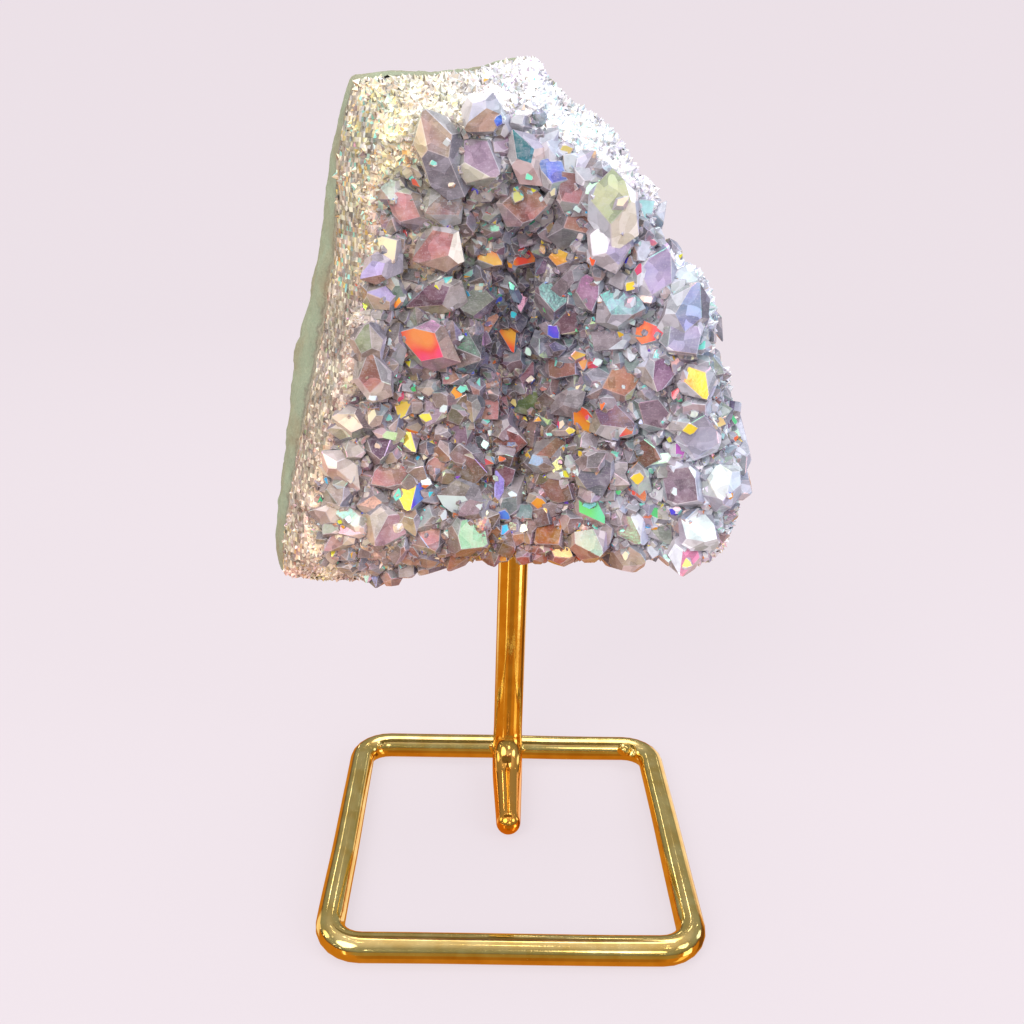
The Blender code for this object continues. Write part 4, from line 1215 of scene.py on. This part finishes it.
amethyst = crystal_finish("aura_amethyst", CLEAR)
cloudy = crystal_finish("cloudy_amethyst", 0.0)
print("crystal finish made")

# %% Meshes of the small points and the druse
small_mesh = planted_mesh("small_points", small_points, small_forms, amethyst)
druse_host = bpy.data.objects.new("druse_host", bed_mesh.copy())
bpy.context.scene.collection.objects.link(druse_host)
modifier = druse_host.modifiers.new("druse", "NODES")
modifier.node_group = druse_tree
for label, value in (("Forms", druse_forms), ("Apart", DRUSE_APART), ("Density", DRUSE_PER_AREA), ("Seed", 7),
                     ("Lean", 0.55), ("Finish", cloudy)):
    modifier[druse_sockets[label]] = value
druse_mesh = plain_mesh(druse_host)
for forms in (small_forms, druse_forms):
    for form in list(forms.objects):
        bpy.data.objects.remove(form)
    bpy.data.collections.remove(forms)
print("small points:", len(small_mesh.polygons), "faces, druse:", len(druse_mesh.polygons), "faces")

# %% [markdown]
# ## Colours of the crystal faces
# Amethyst is mauve, and the metal film adds a colour that depends on its thickness and on how a face is turned. The
# colour is chosen face by face: a ground colour that drifts across the stone, painted light and shade by the way the
# face is turned, painted shade on faces that lie low between the points, a glitter of strong tints where the grains are
# fine, and some faces that flash, whose bright tint is partly the film's colour and partly a painted reflection. The
# colours of the large points and of the sparks were listed with their places.

# %% Ground and glitter
COLOURS = {
    "grey_mauve": "8b8088", "mauve": "86707f", "rosewood": "a4766c", "russet": "8e6258", "sand": "ab9484",
    "rose": "b58580", "cream": "fff3cf", "lilac": "b3a6cf", "plum": "6e5262", "dark_plum": "4c3a4c", "sage": "8f9a80",
    "grey_green": "858a80", "coral": "f06a58", "red": "e0503f", "dark_red": "7c4c46", "yellow": "fff24c",
    "gold": "f7c94a", "orange": "f58a3c", "amber": "b5652c", "clay": "b08078", "dusk_pink": "b58e98", "teal": "3f7f86",
    "steel_blue": "6477b8", "blue": "4f63e6", "cyan": "4fd0f5", "aqua": "8cf5e2", "green": "62dc90", "ice": "e2f6f8",
    "straw": "e8d88c", "pale_green": "c9cfa4", "lavender": "aa9fc2", "pale_lilac": "b9b0c6", "pale_blue": "a4b0da",
    "slate": "6a6876", "olive": "7f7450", "violet_grey": "74647f", "stone": "9d9890", "pink": "e58fa6",
    "magenta": "e67ae8", "white": "ffffff", "umber": "6f5c48", "tan": "b59478", "grey": "8f8c94", "brown": "7a5a4a",
    "pale_straw": "d8cca0", "frost": "dcdce8", "peach": "e6c4ac", "valley_shade": "38344a",
}
ZONES = (
    (-18, 26, "pale_straw"), (6, 32, "frost"), (24, 6, "frost"), (28, -22, "frost"), (-13, 10, "sand"),
    # the dark middle zone is painted shade in the valley between the points
    (3, 2, "valley_shade"), (0, -20, "umber"), (-24, -20, "peach"), (4, -34, "amber"),
)
GLITTER = (
    (-18, 29, 0.75, "cream straw straw gold white aqua umber stone brown"),
    (-22, 15, 0.65, "cream straw gold umber stone aqua tan"),
    (-10, 32, 0.65, "cream straw white stone umber ice"),
    (-26, -2, 0.55, "tan cream stone umber clay"),
    (-28, -20, 0.55, "tan clay sand rose cream dusk_pink"),
    (-30, -34, 0.60, "tan gold rose brown cream"),
    (-12, -34, 0.60, "clay tan gold umber ice"),
    # the amber and gold along the bottom rim, here and in the bottom zone, are partly the film's colour and partly a
    # painted reflection of the gilt stand
    (0, -31, 0.75, "amber gold brown orange amber"),
    (15, -31, 0.70, "amber gold brown tan amber"),
    (27, -30, 0.80, "pink gold cream clay white straw"),
    (34, -20, 0.55, "ice white aqua lilac grey"),
    (32, -4, 0.55, "ice cream lilac aqua straw"),
    (27, 8, 0.50, "ice aqua lilac pale_blue"),
    (18, 21, 0.50, "white ice lilac cream"),
    (10, 30, 0.55, "white ice cream aqua stone"),
    (0, 35, 0.55, "white cream stone lilac ice"),
)
COMMON_FLASH = ("yellow", "gold", "orange", "coral", "aqua", "aqua", "cyan", "blue", "cream", "ice", "ice", "green")
# painted light and shade: tints that faces take by the way they face
PAINTED_LIGHT_BY_FACING = ((Vector((0, 0, -1)), "8e6c60"), (Vector((-1, 0, 0)), "9a827e"), (Vector((1, 0, 0)), "9094bc"),
          (Vector((0, 0, 1)), "b0b0bc"))
SEAM_COLOUR = tone("858070")
# painted shade in the gaps between the points
CREVICE_SHADE_COLOUR = tone("2c2838")
CREVICE_SHADE_HEIGHT = 2.0 * MM

palette = {name: tone(colour) for name, colour in COLOURS.items()}
ground_spots = np.array([(x, z) for x, z, _ in ZONES], float)
ground_tones = np.array([palette[name] for _, _, name in ZONES])
glitter_spots = np.array([(x, z) for x, z, _, _ in GLITTER], float)
print("colours:", len(palette), "named,", len(ZONES), "broad zones")


# %% Painting faces
def paint(mesh, facets, seed, flash_chance, glitter, coated, given, gain, ground_tree=None):
    """Stores a tint and a flash on each face. Faces with the same facet number share them."""
    dice = np.random.default_rng(seed)
    count = len(mesh.polygons)
    normals, centres, areas = np.empty(count * 3), np.empty(count * 3), np.empty(count)
    mesh.polygons.foreach_get("normal", normals)
    mesh.polygons.foreach_get("center", centres)
    mesh.polygons.foreach_get("area", areas)
    normals, centres = normals.reshape(-1, 3), centres.reshape(-1, 3)
    order = np.lexsort((-areas, facets))
    numbers, first, index = np.unique(facets[order], return_index=True, return_inverse=True)
    main = order[first]
    spots = (centres[main][:, [0, 2]] - np.array(STONE_CENTRE.xz)) / MM
    normals, areas = normals[main], areas[main] / MM**2
    away = ((spots[:, None, :] - ground_spots[None]) ** 2).sum(2)
    weights = 1.0 / (4.0 + away) ** 1.6
    tints = weights @ ground_tones / weights.sum(1, keepdims=True)
    # painted light and shade: paler above, warm below and to the left, bluer to the right
    for towards, shade in PAINTED_LIGHT_BY_FACING:
        push = np.clip(normals @ np.array(towards), 0, None)[:, None] ** 1.5 * 0.7
        tints = tints * (1 - push) + tone(shade) * push
    tints *= dice.uniform(0.65, 1.40, (len(numbers), 1)) * np.array(gain)
    if ground_tree is None:
        seam = seam_share(centres[main], normals)[:, None]
        speckle = np.where(dice.random(len(numbers)) < 0.14, 2.8, dice.uniform(0.35, 1.15, len(numbers)))
        tints = tints * (1 - seam) + SEAM_COLOUR * speckle[:, None] * seam
    else:
        # painted shade: faces close to the bed, deep between the points, are darkened towards a dark violet
        height = np.array([ground_tree.find_nearest(Vector(centre))[3] for centre in centres[main]])
        low = (1.0 - np.clip(height / CREVICE_SHADE_HEIGHT, 0.0, 1.0))[:, None] * 0.64
        tints = tints * (1 - low) + CREVICE_SHADE_COLOUR * low
    nearest = ((spots[:, None, :] - glitter_spots[None]) ** 2).sum(2).argmin(1)
    flashes = np.zeros(len(numbers))
    for k, (_, _, strength, names) in enumerate(GLITTER):
        mine = np.flatnonzero(nearest == k)
        options = np.array([palette[name] for name in names.split()])
        chosen = options[dice.integers(0, len(options), len(mine))]
        share = (dice.random(len(mine)) ** 1.2 * strength * glitter)[:, None]
        tints[mine] = tints[mine] * (1 - share) + chosen * share
    # painted reflection: faces that flash get a strong tint at full brightness, partly the film's colour and partly a
    # reflection of the lamps painted in
    options = np.array([palette[name] for name in COMMON_FLASH])
    flashing = dice.random(len(numbers)) < flash_chance * np.clip(2.0 - areas, 0.15, 1.0)
    tints[flashing] = options[dice.integers(0, len(options), int(flashing.sum()))]
    flashes[flashing] = 1.0
    where = {int(number): k for k, number in enumerate(numbers)}
    # listed faces marked ! take their tint at full brightness: the same painted reflection
    for number, name in given.items():
        if number in where:
            tints[where[number]] = palette[name.rstrip("!")] * (1.0 if name.endswith("!") else dice.uniform(0.85, 1.1))
            flashes[where[number]] = 1.0 if name.endswith("!") else 0.0
    per_face = np.empty(count, np.int64)
    per_face[order] = index.ravel()
    tint = mesh.attributes.new("tint", "FLOAT_COLOR", "FACE")
    colours = np.c_[np.clip(tints, 0, 1), np.ones(len(numbers))][per_face]
    tint.data.foreach_set("color", colours.astype(np.float32).ravel())
    flash = mesh.attributes.new("flash", "FLOAT", "FACE")
    flash.data.foreach_set("value", flashes[per_face].astype(np.float32))
    film = mesh.attributes.new("film", "FLOAT", "FACE")
    layers = np.where(dice.random(len(numbers)) < coated, dice.uniform(140, 620, len(numbers)), 0.0)
    film.data.foreach_set("value", layers[per_face].astype(np.float32))
    return int((flashes > 0).sum())


def stored_numbers(mesh, name):
    """An integer attribute of the faces, or of each face's first corner."""
    layer = mesh.attributes[name]
    values = np.empty(len(layer.data), np.int32)
    layer.data.foreach_get("value", values)
    if layer.domain == "POINT":
        starts = np.empty(len(mesh.polygons), np.int32)
        mesh.polygons.foreach_get("loop_start", starts)
        corners = np.empty(len(mesh.loops), np.int32)
        mesh.loops.foreach_get("vertex_index", corners)
        values = values[corners[starts]]
    return values


# %% Crust
grown.to_mesh(points_mesh)
grown.free()
front_colours = {number * FACETS: name for number, name in given_colours.items() if name}
shown = paint(points_mesh, stored_numbers(points_mesh, "facet"), 5, 0.03, 0.2, 0.55, front_colours,
              (1.33, 1.45, 1.44), bed_tree)
print("faces that flash on the large points:", shown)
small_facets = stored_numbers(small_mesh, "crystal") * FACETS + stored_numbers(small_mesh, "facet")
print("on the small points:", paint(small_mesh, small_facets, 6, 0.08, 0.3, 0.7, {}, (1.27, 1.37, 1.41),
                                    bed_tree))
paint(druse_mesh, np.arange(len(druse_mesh.polygons)), 7, 0.004, 1.0, 0.25, {}, (1.28, 1.34, 1.24))
paint(bed_mesh, np.arange(len(bed_mesh.polygons)), 8, 0.0, 0.8, 0.1, {}, (1.08, 1.14, 1.05))
crust = add_piece("amethyst_bed", bed_mesh, cloudy, "aura_amethyst", "crystal_crust")
points = add_piece("amethyst_points", points_mesh, amethyst, "aura_amethyst", "crystal_crust")
small = add_piece("small_points", small_mesh, amethyst, "aura_amethyst")
druse = add_piece("rim_druse", druse_mesh, cloudy, "aura_amethyst")

# %% Sizes and the end
low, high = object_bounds()
print("visual box", [round(c / MM, 1) for c in (*low, *high)])
